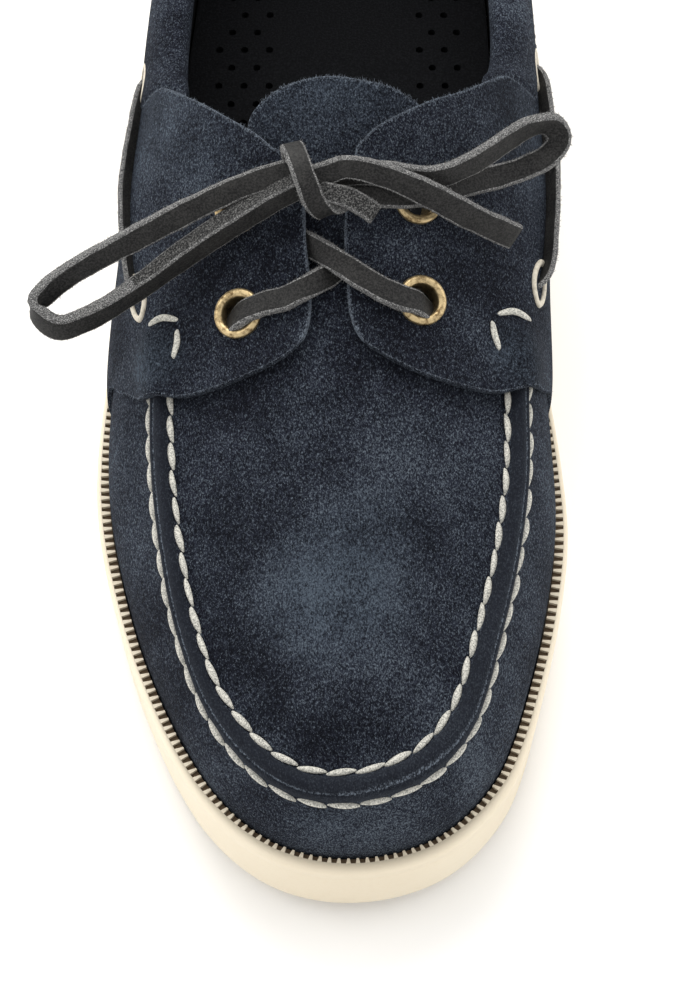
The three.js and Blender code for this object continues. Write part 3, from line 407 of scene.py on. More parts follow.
# The sole is one moulded cup of cream rubber with a rim that steps out over the side. Its
# outline, rim, toe spring, heel and arch are those of the part's own source.
BALL_WIDTH = 107.0
RIM_HEIGHT = 20.0
RIM_WIDTH = 3.0
TOE_RIM_WIDTH = 3.8
CUP_DEPTH = 8.0
HEEL_LIFT = 6.0
TOE_SPRING = 5.0
HEEL_SPRING = 1.5
ARCH_RISE = 3.0
STEP_DROP = 3.5
STEP_DEPTH = 0.7
GAP = 0.3
STATIONS = 36
RING = 2 * STATIONS
PER_STATION = 8
RUBBER_COLOUR = (0.80, 0.715, 0.56, 1)
RUBBER_SHADE_COLOUR = (0.74, 0.64, 0.48, 1)
# The groove colour is partly the glue in the groove and partly painted shade of the recess.
GROOVE_GLUE_AND_SHADE_COLOUR = (0.20, 0.14, 0.09, 1)
OUTLINE = [
    (0.0, 0.045), (0.003, -0.042), (0.0138, -0.124), (0.0326, -0.197), (0.0587, -0.262),
    (0.086, -0.309), (0.1174, -0.352), (0.1846, -0.423), (0.28, -0.488), (0.345, -0.5),
    (0.45, -0.477), (0.587, -0.421), (0.755, -0.372), (0.839, -0.35), (0.899, -0.316),
    (0.946, -0.254), (0.978, -0.168), (0.995, -0.07), (1.0, 0.024), (0.9965, 0.12),
    (0.9815, 0.219), (0.953, 0.299), (0.906, 0.363), (0.846, 0.396), (0.765, 0.411),
    (0.587, 0.424), (0.453, 0.458), (0.34, 0.493), (0.2785, 0.5), (0.214, 0.478),
    (0.1426, 0.433), (0.1013, 0.4), (0.0728, 0.367), (0.0416, 0.305), (0.0191, 0.231),
    (0.0054, 0.143),
]


def along_of(y):
    return y / LENGTH + 0.5


def y_of(along):
    return (along - 0.5) * LENGTH


def ease(low, high, value):
    share = np.clip((value - low) / (high - low), 0, 1)
    return share * share * (3 - 2 * share)


def toe_rise(along):
    return TOE_SPRING * np.maximum(0, 1 - along / 0.21) ** 2


def underside(along):
    heel = HEEL_SPRING * np.maximum(0, (along - 0.93) / 0.07) ** 2
    arch = ARCH_RISE * ease(0.45, 0.52, along) * (1 - ease(0.62, 0.68, along))
    return toe_rise(along) + heel + arch


def rim_top(along):
    return RIM_HEIGHT + toe_rise(along) + HEEL_LIFT * ease(0.37, 0.77, along)


def rim_width(along):
    return TOE_RIM_WIDTH + (RIM_WIDTH - TOE_RIM_WIDTH) * ease(0.03, 0.2, along)


DENSE = 1440
trace = smooth_line([(out * BALL_WIDTH, y_of(along)) for along, out in OUTLINE], DENSE, closed=True)
toe_tip = int(trace[:, 1].argmin())
heel_tip = int(trace[:, 1].argmax())


def outline_at(station):
    """Points of the outline and their outward directions. Station 0 is the toe, 36 the heel."""
    place = np.mod(station, RING)
    lateral_span = (heel_tip - toe_tip) % DENSE
    medial_span = (toe_tip - heel_tip) % DENSE
    lateral = toe_tip + lateral_span * place / STATIONS
    medial = heel_tip + medial_span * (place / STATIONS - 1)
    index = np.where(place <= STATIONS, lateral, medial)
    whole = np.floor(index).astype(int)
    share = (index - whole)[:, None]
    point = trace[whole % DENSE] * (1 - share) + trace[(whole + 1) % DENSE] * share
    tangent = unit(trace[(whole + 3) % DENSE] - trace[(whole - 2) % DENSE])
    return point, np.stack([-tangent[:, 1], tangent[:, 0]], axis=1)


def sole_ring(inset, height):
    """One ring of points round the sole. inset and height take the share of the length."""
    point, outward = outline_at(np.arange(RING * PER_STATION) / PER_STATION)
    flat = point - outward * np.asarray(inset(along_of(point[:, 1]))).reshape(-1, 1)
    return np.column_stack([flat, height(along_of(flat[:, 1]))])


def pair_faces(first, size):
    """Faces over a sole-shaped ring, in strips across the shoe."""
    faces = []
    for station in range(size // 2):
        corners = (station, station + 1, (size - station - 1) % size, (size - station) % size)
        face = []
        for corner in corners:
            if first + corner not in face:
                face.append(first + corner)
        if len(face) > 2:
            faces.append(tuple(face))
    return faces


rubber, rubber_shader, place = new_finish("cream_rubber", 0.5)
cloud = place.grain(45, 3, 0.5)
dust = place.grain(0.9, 3, 0.6)
(cloud.ease(0.3, 0.75) * 0.6 + dust.ease(0.5, 0.8) * 0.25).blend(RUBBER_COLOUR, RUBBER_SHADE_COLOUR).feed(rubber_shader, "Base Color")
(0.42 + dust * 0.22).feed(rubber_shader, "Roughness")
(place.grain(0.5, 2, 0.5) + cloud * 0.5).bump(0.05, 0.35).feed(rubber_shader, "Normal")

# The groove between the rim and the suede is painted dark brown: partly the glue in it, partly painted shade of the
# recess.
groove, groove_shader, place = new_finish("rim_groove_glue_and_shade", 0.85)
place.grain(0.8, 3, 0.6).blend(GROOVE_GLUE_AND_SHADE_COLOUR, (0.21, 0.14, 0.08, 1)).feed(groove_shader, "Base Color")

TOE_TEETH = 1.3
SIDE_TEETH = 1.95
GROOVE_DROP = 0.9
TREAD_BORDER = 7.0
TREAD_DEPTH = 1.0


def from_under(rise):
    return lambda along: underside(along) + rise


def from_rim(drop):
    return lambda along: rim_top(along) - drop


def fixed(inset):
    return lambda along: np.full_like(along, inset)


def tooth_depth(along):
    """How far the groove and its teeth reach out from the suede: least round the toe."""
    return TOE_TEETH + (SIDE_TEETH - TOE_TEETH) * ease(0.0, 0.1, along)


def from_cup(inset):
    return lambda along: rim_width(along) + inset


def from_groove(inset, share=1.0):
    return lambda along: rim_width(along) - tooth_depth(along) * share + inset


SOLE_PROFILE = [
    (fixed(TREAD_BORDER), from_under(TREAD_DEPTH)),
    (fixed(TREAD_BORDER), from_under(0.1)),
    (fixed(TREAD_BORDER - 0.15), from_under(0)),
    (fixed(2.2), from_under(0)),
    (fixed(1.35), from_under(0.25)),
    (fixed(0.9), from_under(0.8)),
    (fixed(STEP_DEPTH), from_under(1.7)),
    (fixed(STEP_DEPTH), from_under(4.5)),
    (fixed(STEP_DEPTH), lambda along: (underside(along) + rim_top(along)) / 2),
    (fixed(STEP_DEPTH), from_rim(STEP_DROP + 1.2)),
    (fixed(STEP_DEPTH), from_rim(STEP_DROP + 0.5)),
    (fixed(STEP_DEPTH + 0.25), from_rim(STEP_DROP + 0.35)),
    (fixed(STEP_DEPTH + 0.2), from_rim(STEP_DROP + 0.2)),
    (fixed(0.15), from_rim(STEP_DROP)),
    (fixed(0), from_rim(STEP_DROP - 0.3)),
    (fixed(0), from_rim(1.0)),
    (fixed(0.12), from_rim(0.45)),
    (fixed(0.45), from_rim(0.12)),
    (fixed(0.9), from_rim(0)),
    (from_groove(-0.05), from_rim(0)),
    (from_groove(0), from_rim(0.1)),
    (from_groove(0), from_rim(GROOVE_DROP)),
    (from_cup(-0.05), from_rim(GROOVE_DROP)),
    (from_cup(0), from_rim(GROOVE_DROP + 0.2)),
    (from_cup(0), from_rim(CUP_DEPTH)),
]
GROOVE_RINGS = (20, 21, 22)
size = RING * PER_STATION
points = np.vstack([sole_ring(inset, height) for inset, height in SOLE_PROFILE])
faces = ring_faces(len(SOLE_PROFILE), size)
looks = np.zeros(len(faces), int)
for ring in GROOVE_RINGS:
    looks[ring * size:(ring + 1) * size] = 1
ends = pair_faces(0, size) + pair_faces((len(SOLE_PROFILE) - 1) * size, size)
make_piece("cup_sole", points, faces + ends, [rubber, groove], list(looks) + [0] * len(ends), node="outsole")

# Small rubber teeth stand in the groove between the rim and the suede, one every two
# millimetres all the way round.
TOOTH_PITCH = 2.0
TOOTH_ROOT = 0.52
TOOTH_TIP = 0.25

inner_ring = sole_ring(from_groove(0, 0.5), from_rim(0))
walked = np.concatenate([[0], np.cumsum(np.linalg.norm(np.diff(np.vstack([inner_ring, inner_ring[:1]]), axis=0), axis=1))])
tooth_count = int(walked[-1] / TOOTH_PITCH)
tooth_stations = np.interp(np.arange(tooth_count) * walked[-1] / tooth_count, walked, np.arange(len(walked))) / PER_STATION
point, outward = outline_at(tooth_stations)
sideways = np.column_stack([-outward[:, 1], outward[:, 0]])
width = rim_width(along_of(point[:, 1]))[:, None]
points, faces = [], []
depth = tooth_depth(along_of(point[:, 1]))[:, None]
for inset, half_width, drops in (
    (-depth - 0.2, TOOTH_ROOT, (0.0, GROOVE_DROP + 0.1)),
    (-0.08, TOOTH_TIP, (0.12, GROOVE_DROP + 0.1)),
):
    for drop in drops:
        for turn in (-1, 1):
            flat = point - outward * (width + inset) + sideways * turn * half_width
            points.append(np.column_stack([flat, rim_top(along_of(flat[:, 1])) - drop]))
for tooth in range(tooth_count):
    corner = [index * tooth_count + tooth for index in range(8)]
    for face in ((0, 1, 3, 2), (4, 5, 7, 6), (0, 1, 5, 4), (2, 3, 7, 6), (0, 2, 6, 4), (1, 3, 7, 5)):
        faces.append(tuple(corner[index] for index in face))
teeth = make_piece("rim_teeth", np.vstack(points), faces, [rubber])
teeth.data.polygons.foreach_set("use_smooth", np.zeros(len(teeth.data.polygons), bool))

# Under the sole the tread is cut in fine waves across the shoe, in a field set in from the
# edge. It ends level with the border, so the shoe stands on both.
WAVE_PITCH = 6.0
WAVE_REACH = 1.5
WAVE_LENGTH = 14.0
WAVE_CUT = 1.1
TREAD_COLUMNS = 44

border = sole_ring(fixed(TREAD_BORDER + 0.4), from_under(0))
lateral_side = border[:len(border) // 2 + 1]
medial_side = np.vstack([border[len(border) // 2:], border[:1]])[::-1]
tread_rows = []
row_start = y_of(0.045)
while row_start < y_of(0.955):
    for step, rise in ((0, 0.0), (WAVE_PITCH - WAVE_CUT, 0.0), (WAVE_PITCH - WAVE_CUT + 0.15, 0.75), (WAVE_PITCH - 0.15, 0.75)):
        y = row_start + step
        low, high = np.interp(y, lateral_side[:, 1], lateral_side[:, 0]), np.interp(y, medial_side[:, 1], medial_side[:, 0])
        x = np.linspace(low, high, TREAD_COLUMNS)
        fade = np.minimum(1, np.minimum(x - low, high - x) / 4)
        wave = y + WAVE_REACH * np.sin(x / WAVE_LENGTH * 2 * math.pi) * fade
        tread_rows.append(np.column_stack([x, wave, underside(along_of(wave)) + rise]))
    row_start += WAVE_PITCH


def thick_sheet(name, outer, inner, cells, finishes, looks=(0, 1, 0), node=None, marks=None):
    """A sheet between two sets of points, with walls along the open edges of its cells."""
    count = len(outer)
    edges = set()
    for face in cells:
        edges.update(zip(face, face[1:] + face[:1]))
    walls = [(b, a, a + count, b + count) for a, b in edges if (b, a) not in edges]
    backs = [tuple(index + count for index in face[::-1]) for face in cells]
    faces = list(cells) + backs + sorted(walls)
    slots = [looks[0]] * len(cells) + [looks[1]] * len(backs) + [looks[2]] * len(walls)
    points = np.vstack([outer, inner])
    keep = np.zeros(len(points), bool)
    for face in faces:
        keep[list(face)] = True
    renumber = np.cumsum(keep) - 1
    faces = [tuple(int(renumber[index]) for index in face) for face in faces]
    piece = make_piece(name, points[keep], faces, finishes, slots, node=node)
    for mark_name, values in (marks or {}).items():
        mark = piece.data.attributes.new(mark_name, "FLOAT", "POINT")
        mark.data.foreach_set("value", np.concatenate([values, values])[keep].astype(np.float32))
    return piece


def grid_cells(rows, columns, closed=False):
    cells = []
    for row in range(rows if closed else rows - 1):
        following = (row + 1) % rows
        for column in range(columns - 1):
            cells.append((row * columns + column, row * columns + column + 1, following * columns + column + 1, following * columns + column))
    return cells


tread = np.array(tread_rows)
back = tread.copy()
back[:, :, 2] = underside(along_of(back[:, :, 1])) + TREAD_DEPTH + 0.1
sheet = thick_sheet("tread_waves", tread.reshape(-1, 3), back.reshape(-1, 3), grid_cells(*tread.shape[:2]), [rubber], (0, 0, 0))
sheet.data.polygons.foreach_set("use_smooth", np.zeros(len(sheet.data.polygons), bool))

# The footbed is a foam pad under dark microfibre, punched with small air holes all over but
# for a plain panel under the heel.
WALL = 1.7
INSOLE = 4.0
HOLE_RADIUS = 0.95
HOLE_PITCH = 6.2
LINING_COLOUR = (0.0035, 0.0038, 0.0045, 1)
LINING_FIBRE_COLOUR = (0.009, 0.0095, 0.011, 1)

lining, lining_shader, place = new_finish("dark_lining", 0.95)
weave = place.grain(0.5, 3, 0.65)
weave.ease(0.4, 0.7).blend(LINING_COLOUR, LINING_FIBRE_COLOUR).feed(lining_shader, "Base Color")
weave.bump(0.15, 0.6).feed(lining_shader, "Normal")
lining_shader.inputs["Specular IOR Level"].default_value = 0.1

PAD_PROFILE = [
    (0.2, 0.1), (0.0, 0.4), (0.0, INSOLE - 0.6), (0.15, INSOLE - 0.15), (0.7, INSOLE), (2.4, INSOLE - 0.05), (6.0, INSOLE - 0.25),
]
pad_rings = []
for inset, rise in PAD_PROFILE:
    pad_rings.append(sole_ring(from_cup(2 * GAP + WALL + inset), from_rim(CUP_DEPTH - GAP - rise)))
points = np.vstack(pad_rings)
faces = ring_faces(len(pad_rings), size) + pair_faces(0, size) + pair_faces((len(pad_rings) - 1) * size, size)
pad = make_piece("footbed", points, faces, [lining], node="insole")

punches = []
for row in range(-24, 25):
    for column in range(-6, 7):
        x = (column + 0.5 * (row % 2)) * HOLE_PITCH
        y = row * HOLE_PITCH * 0.87
        along = along_of(y)
        low, high = np.interp(y, lateral_side[:, 1], lateral_side[:, 0]), np.interp(y, medial_side[:, 1], medial_side[:, 0])
        in_panel = along > 0.6 and abs(x - (low + high) / 2) < 17
        if 0.07 < along < 0.93 and low + 5 < x < high - 5 and not in_panel:
            punches.append((x, y))
points, faces = [], []
for x, y in punches:
    first = len(points)
    deck = rim_top(along_of(y)) - CUP_DEPTH + GAP + INSOLE
    for height in (deck - 2.2, deck + 1.5):
        for corner in range(10):
            angle = corner / 10 * 2 * math.pi
            points.append((x + HOLE_RADIUS * math.cos(angle), y + HOLE_RADIUS * math.sin(angle), height))
    faces += ring_faces(2, 10, first)
    faces += [tuple(first + corner for corner in range(10)), tuple(first + 10 + corner for corner in range(10))]


def cut_away(piece, points, faces):
    """Cuts closed shapes, given in millimetres, out of a piece."""
    mesh = bpy.data.meshes.new("cutter")
    mesh.from_pydata((np.asarray(points, float) * MM).tolist(), [], faces)
    shape = bmesh.new()
    shape.from_mesh(mesh)
    bmesh.ops.recalc_face_normals(shape, faces=shape.faces)
    shape.to_mesh(mesh)
    shape.free()
    cutter = bpy.data.objects.new("cutter", mesh)
    scene.collection.objects.link(cutter)
    cut = piece.modifiers.new("cut", "BOOLEAN")
    cut.object = cutter
    cut.operation = "DIFFERENCE"
    cut.solver = "MANIFOLD"
    keep_shape(piece)
    bpy.data.objects.remove(cutter)
    bpy.data.meshes.remove(mesh)


def keep_shape(piece):
    """Makes what a piece's modifiers give its own mesh."""
    bpy.context.view_layer.update()
    made = bpy.data.meshes.new_from_object(piece.evaluated_get(bpy.context.evaluated_depsgraph_get()))
    before = piece.data
    piece.modifiers.clear()
    piece.data = made
    bpy.data.meshes.remove(before)


cut_away(pad, points, faces)
pad.data.polygons.foreach_set("use_smooth", np.zeros(len(pad.data.polygons), bool))

# The upper is a moccasin: a vamp that comes up all round the toe, and a plug let into its
# top and joined to it in a raised, hand-sewn seam. Suede outside, dark lining inside.
INSTEP_HEIGHT = 108.0
SEAM_HEIGHT = 42.0
SEAM_INSET = 7.0
RIB_STEPS = 20
COLLAR_HEIGHT = 12.0
TOP_LAP = 3.4
THROAT_HALF = 11.0
THROAT_FRONT = 0.396
THROAT_MIDDLE = 0.45
THROAT_BACK = 0.56
TOP_START = 0.484
COLLAR_START = 0.588
SEAM_FADE = (0.36, 0.41)
SECTIONS = [
    (0.0, 0.463, 1.0, 1.0, 1.0, 92, 62, 22),
    (0.06, 0.472, 1.01, 1.09, 1.12, 93, 62, 20),
    (0.14, 0.491, 1.05, 1.33, 1.33, 94, 60, 20),
    (0.22, 0.528, 1.11, 1.7, 1.4, 95, 58, 24),
    (0.3, 0.574, 1.18, 1.95, 1.35, 98, 57, 30),
    (0.36, 0.625, 1.24, 1.85, 1.1, 101, 58, 38),
    (0.44, 0.704, 1.26, 0.95, 0.25, 104, 66, 54),
    (0.52, 0.796, 1.21, 0.1, -0.5, 106, 76, 70),
    (0.6, 0.87, 1.16, -0.2, -0.7, 107, 83, 79),
    (0.72, 0.935, 1.15, -0.4, -0.6, 106, 86, 83),
    (0.86, 0.981, 1.17, -0.3, -0.3, 104, 88, 86),
    (1.0, 1.0, 1.19, 0.1, 0.1, 100, 88, 86),
]
CREST, SEAM_UP, LATERAL_IN, MEDIAL_IN, FOOT_ANGLE, WALL_ANGLE, PLUG_ANGLE = range(1, 8)
SPINE = [(0.0, 0.042), (0.15, 0.028), (0.35, 0.009), (0.5, 0.006), (0.7, 0.017), (1.0, 0.024)]
TOP_LINE = [
    (0.484, 0.76, 0.775), (0.505, 0.758, 0.786), (0.527, 0.736, 0.772), (0.545, 0.708, 0.74),
    (0.56, 0.676, 0.711), (0.574, 0.642, 0.681), (0.587, 0.604, 0.646), (0.604, 0.579, 0.607),
    (0.638, 0.56, 0.579), (0.69, 0.555, 0.565), (0.755, 0.565, 0.569), (0.84, 0.602, 0.602),
    (0.92, 0.657, 0.657), (1.03, 0.7, 0.7),
]


def hermite(first, last, leave, arrive, t):
    square, cube = t * t, t * t * t
    return (2 * cube - 3 * square + 1) * first + (cube - 2 * square + t) * leave + (3 * square - 2 * cube) * last + (cube - square) * arrive


def read_table(table, column, along):
    """A column of a table at shares of the length, smooth through its rows."""
    at = np.array([row[0] for row in table])
    value = np.array([row[column] for row in table])
    before, after = np.maximum(np.arange(len(at)) - 1, 0), np.minimum(np.arange(len(at)) + 1, len(at) - 1)
    slope = (value[after] - value[before]) / (at[after] - at[before])
    place = np.clip(along, at[0], at[-1])
    row = np.clip(np.searchsorted(at, place) - 1, 0, len(at) - 2)
    span = at[row + 1] - at[row]
    return hermite(value[row], value[row + 1], slope[row] * span, slope[row + 1] * span, (place - at[row]) / span)


def spine_x(along):
    return read_table(SPINE, 1, along) * BALL_WIDTH


def top_height(side, along):
    return read_table(TOP_LINE, 1 if side == "lateral" else 2, along) * INSTEP_HEIGHT


def foot_at(station):
    point, outward = outline_at(station)
    return point - outward * (rim_width(along_of(point[:, 1]))[:, None] + GAP)


# The last: ribs from the rim up to the seam, which is rise 1, and over to the spine, rise 2
WALL_STEPS = 36
PLUG_STEPS = 48
stations = np.arange(RING * PER_STATION) / PER_STATION
foot, other = foot_at(stations), foot_at(RING - stations)
middle = along_of((foot[:, 1] + other[:, 1]) / 2)
spine_along = middle + 0.1 * np.exp(-middle / 0.128) - 0.107 * np.exp(-(1 - middle) / 0.134)
spine = np.column_stack([spine_x(spine_along), y_of(spine_along)])
reach = np.linalg.norm(spine - foot, axis=1)
inward = unit(spine - foot)
along = along_of(foot[:, 1])
inset = np.where(stations < STATIONS, read_table(SECTIONS, LATERAL_IN, along), read_table(SECTIONS, MEDIAL_IN, along)) * SEAM_INSET
base = np.column_stack([np.zeros(len(stations)), rim_top(along)])
seam = np.column_stack([inset, read_table(SECTIONS, SEAM_UP, along) * SEAM_HEIGHT])
crest = np.column_stack([reach, read_table(SECTIONS, CREST, spine_along) * INSTEP_HEIGHT])


def bend(first, last, leave, arrive, pull, steps):
    """Evenly spaced steps of [in, up] on a bend, for every rib, and the bends' lengths."""
    chord = np.linalg.norm(last - first, axis=1, keepdims=True) * pull
    leave = np.column_stack([np.cos(leave), np.sin(leave)]) * chord
    arrive = np.column_stack([np.cos(arrive), np.sin(arrive)]) * chord
    line = np.stack([hermite(first, last, leave, arrive, t) for t in np.linspace(0, 1, 3 * RIB_STEPS)], axis=1)
    walked = np.concatenate([np.zeros((len(first), 1)), np.cumsum(np.linalg.norm(np.diff(line, axis=1), axis=2), axis=1)], axis=1)
    even = np.empty((len(first), steps + 1, 2))
    for rib in range(len(first)):
        wanted = np.linspace(0, walked[rib, -1], steps + 1)
        for axis in range(2):
            even[rib, :, axis] = np.interp(wanted, walked[rib], line[rib, :, axis])
    return even, walked[:, -1]


angles = [np.radians(read_table(SECTIONS, column, along)) for column in (FOOT_ANGLE, WALL_ANGLE, PLUG_ANGLE)]
wall, wall_length = bend(base, seam, angles[0], angles[1], 1.1, WALL_STEPS)
plug, plug_length = bend(seam, crest, angles[2], np.zeros(len(stations)), 1.0, PLUG_STEPS)
line = np.concatenate([wall, plug[:, 1:]], axis=1)
last_points = np.concatenate([foot[:, None] + inward[:, None] * line[:, :, :1], line[:, :, 1:]], axis=2)
beyond = last_points[(-np.arange(len(stations))) % len(stations), -2]
above = np.concatenate([last_points[:, 1:], beyond[:, None]], axis=1)
below = np.concatenate([last_points[:, :1], last_points[:, :-1]], axis=1)
onward = np.roll(last_points, -1, axis=0) - np.roll(last_points, 1, axis=0)
last_normals = unit(np.cross(above - below, onward))
for tip, neighbour in ((0, 1), (STATIONS * PER_STATION, STATIONS * PER_STATION - 1)):
    last_normals[tip, -1] = last_normals[neighbour, -1]
last_normals *= np.sign(last_normals[len(stations) // 4, -1, 2])


def read_last(grid, station, rise):
    """Values of a grid over the last at stations and rises, both as arrays."""
    row = np.mod(station, RING) * PER_STATION
    column = np.where(rise < 1, np.clip(rise, 0, 1) * WALL_STEPS, WALL_STEPS + (np.clip(rise, 1, 2) - 1) * PLUG_STEPS)
    low_row, low_column = np.floor(row).astype(int), np.minimum(np.floor(column).astype(int), WALL_STEPS + PLUG_STEPS - 1)
    across, up = row - low_row, column - low_column
    if grid.ndim == 3:
        across, up = across[..., None], up[..., None]
    rows = grid.shape[0]
    corner = [grid[(low_row + a) % rows, low_column + b] for a in (0, 1) for b in (0, 1)]
    return (corner[0] * (1 - up) + corner[1] * up) * (1 - across) + (corner[2] * (1 - up) + corner[3] * up) * across


def on_last(station, rise, lift=0.0):
    """Points on the last, or a lift above it, in millimetres."""
    normal = unit(read_last(last_normals, station, rise))
    return read_last(last_points, station, rise) + normal * np.asarray(lift)[..., None]


def lengths_at(station):
    row = np.mod(station, RING) * PER_STATION
    ring = np.arange(len(stations) + 1)
    return np.interp(row, ring, np.append(wall_length, wall_length[0])), np.interp(row, ring, np.append(plug_length, plug_length[0]))


def from_seam(station, rise):
    """How far a place is from the seam line in millimetres, below it negative."""
    wall_reach, plug_reach = lengths_at(station)
    return np.where(rise < 1, (rise - 1) * wall_reach, (rise - 1) * plug_reach) - seam_shift(station)


def rise_at(station, distance):
    wall_reach, plug_reach = lengths_at(station)
    along_rib = distance + seam_shift(station)
    return np.where(along_rib < 0, 1 + along_rib / wall_reach, 1 + along_rib / plug_reach)


# The ridge's rise over the last, by the way from the seam line, and how far the seam line
# itself lies towards the spine from rise 1, both in millimetres
SEAM_PROFILE = [
    (-9, 0), (-7, 0.1), (-5.4, 0.35), (-4.4, 0.55), (-3.9, 0.6), (-3.45, 1.0), (-3.1, 1.9), (-2.7, 2.6), (-2.2, 2.95),
    (-1.6, 3.0), (-1.15, 2.6), (-0.8, 2.85), (0, 2.95), (0.9, 2.75), (1.6, 2.3), (2.1, 1.6), (2.5, 0.8), (2.8, 0.3),
    (3.2, 0.1), (3.8, 0.05), (5, 0),
]
SEAM_SHIFT = [
    (-36, 0), (-11, -0.3), (-8.5, -0.2), (-6, 0.3), (-4, 0.7), (-2, 1.35), (0, 0.7), (1.5, -0.2), (3, -1.0), (4.2, -1.9),
    (5.4, -2.8), (7, -2.5), (10, -2.1), (12, -1.5), (16, 0), (36, 0),
]
RIDGE_LEAN = 1.3
CREASE = -1.15


def seam_shift(station):
    place = np.mod(np.asarray(station, float) + STATIONS, RING) - STATIONS
    return read_table(SEAM_SHIFT, 1, place)


def over_ridge(station, rise, lift, raised):
    """Points a lift off the last, raised further in the ridge's own, more upright direction."""
    normal = unit(read_last(last_normals, station, rise))
    upward = unit(normal + np.array([0, 0, RIDGE_LEAN]))
    lift, raised = (np.asarray(value, float)[..., None] for value in (lift, raised))
    return read_last(last_points, station, rise) + normal * lift + upward * raised


def seam_fade(points):
    return 1 - ease(*SEAM_FADE, along_of(points[..., 1]))


def seam_lift(distance):
    return np.interp(distance, [row[0] for row in SEAM_PROFILE], [row[1] for row in SEAM_PROFILE])


SUEDE_DEEP = (0.0030, 0.0034, 0.0060, 1)
SUEDE_BLUE = (0.0175, 0.0205, 0.0325, 1)
SUEDE_FIBRE = (0.152, 0.184, 0.215, 1)
SUEDE_WORN = (0.080, 0.104, 0.134, 1)
SMOOTH_BAND_AND_SHADE_COLOUR = (0.0125, 0.0145, 0.0195, 1)
FRAYED_COLOUR = (0.19, 0.225, 0.27, 1)


def suede_finish(name, worn_at=()):
    """Navy suede: short nap in clumps, pale fibre ends, brushed patches, paler raw edges, and a darker seam band that
    is partly painted shade.
    """
    finish, shader, place = new_finish(name, 0.95)
    nap = place.stretched((1.0, 0.6, 0.8)).grain(0.62, 4, 0.75)
    fibre = place.stretched((1.0, 0.6, 0.8)).grain(0.31, 2, 0.8)
    brushed = place.grain(15, 3, 0.55)
    wide = place.grain(46, 2, 0.5)
    tone = (brushed - 0.5) * 0.6 + (wide - 0.5) * 0.65
    base = (nap * 1.6 + tone).ease(0.50, 1.12).blend(SUEDE_DEEP, SUEDE_BLUE)
    tips = (fibre * 1.2 + nap * 0.35 + tone * 0.5).ease(0.77, 1.17) * 0.8
    colour = tips.blend(base, SUEDE_FIBRE)
    for centre, inside, outside, strength in worn_at:
        away = place.node("ShaderNodeVectorMath", {"operation": "DISTANCE"}, {0: place, 1: Vector(centre) * MM}, out="Value")
        patch = (1 - away.ease(inside * MM, outside * MM)) * (nap * 0.8 + fibre * 0.5 + brushed * 0.4).ease(0.6, 1.15) * strength
        colour = patch.blend(colour, SUEDE_WORN)
    # The band between the seam's stitch rows is painted darker: partly smoother leather, partly painted shade of the
    # raised ridge.
    band = place.node("ShaderNodeAttribute", {"attribute_name": "seam_band"}, out="Fac")
    colour = (band * 0.75).blend(colour, SMOOTH_BAND_AND_SHADE_COLOUR)
    edge = place.node("ShaderNodeAttribute", {"attribute_name": "raw_edge"}, out="Fac")
    frayed = (edge * 0.9 + (nap - 0.5) * 1.2 + (fibre - 0.5) * 1.6).ease(0.45, 1.25) * edge
    frayed.blend(colour, FRAYED_COLOUR).feed(shader, "Base Color")
    ((nap * 0.7 + fibre * 0.5) * (1 - band * 0.4)).bump(0.6, 0.9).feed(shader, "Normal")
    shader.inputs["Sheen Weight"].default_value = 0.03
    shader.inputs["Sheen Roughness"].default_value = 0.5
    shader.inputs["Sheen Tint"].default_value = (0.6, 0.72, 0.9, 1)
    shader.inputs["Specular IOR Level"].default_value = 0.08
    return finish


TOE_WORN = [((1, -98, 54), 2, 22, 0.8), ((9, -84, 58), 2, 17, 0.25), ((0, -134, 34), 1, 12, 0.5)]
upper_suede = suede_finish("vamp_suede", TOE_WORN)

# Stations run from the heel down the lateral side, round the toe and back to the heel. Near
# the toe a rib goes up to the spine; further back it stops at the throat or the top line
BAND_LOW = -9.0
BAND_HIGH = 5.0
WALL_COLUMNS = 18
BAND_COLUMNS = 40
PLUG_COLUMNS = 44
UPPER_STEP = 0.125
REAR_STEP = 0.5
FINE_UNTIL = 17
half_places = np.concatenate([np.arange(0, FINE_UNTIL, UPPER_STEP), np.arange(FINE_UNTIL, STATIONS, REAR_STEP)])
places = np.concatenate([[-STATIONS], -half_places[:0:-1], half_places])
front_place = float(np.interp(THROAT_FRONT, spine_along[:STATIONS * PER_STATION + 1], stations[:STATIONS * PER_STATION + 1]))
front_place = round(front_place / UPPER_STEP) * UPPER_STEP


def upper_columns(place):
    wall_reach, plug_reach = (float(reach[0]) for reach in lengths_at(np.array([place])))
    shift = float(seam_shift(place))
    distances = np.concatenate([
        np.linspace(-wall_reach, BAND_LOW + shift, WALL_COLUMNS),
        np.linspace(BAND_LOW + shift, BAND_HIGH + shift, BAND_COLUMNS + 1)[1:],
        np.linspace(BAND_HIGH + shift, plug_reach, PLUG_COLUMNS + 1)[1:],
    ])
    return np.where(distances < 0, 1 + distances / wall_reach, 1 + distances / plug_reach)


def side_of(place):
    return "medial" if place < 0 else "lateral"


FINE_RISES = np.linspace(0, 2, 400)


def rib_end(place, lap):
    """The rise at which a rib meets the throat's edge or the top line."""
    rib = on_last(np.full(400, place), FINE_RISES)
    here = along_of(rib[:, 1])
    limit = np.where(here > COLLAR_START, top_height(side_of(place), here) - COLLAR_HEIGHT, top_height(side_of(place), here) - lap)
    over = (here > TOP_START) & (rib[:, 2] > limit)
    middle_x = float(spine_x(np.array([THROAT_MIDDLE]))[0])
    inside = (np.abs(rib[:, 0] - middle_x) < THROAT_HALF) & (here > THROAT_FRONT) & (here < THROAT_BACK)
    stopped = np.nonzero(over | inside)[0]
    return float(FINE_RISES[stopped[0]]) if len(stopped) else 2.0


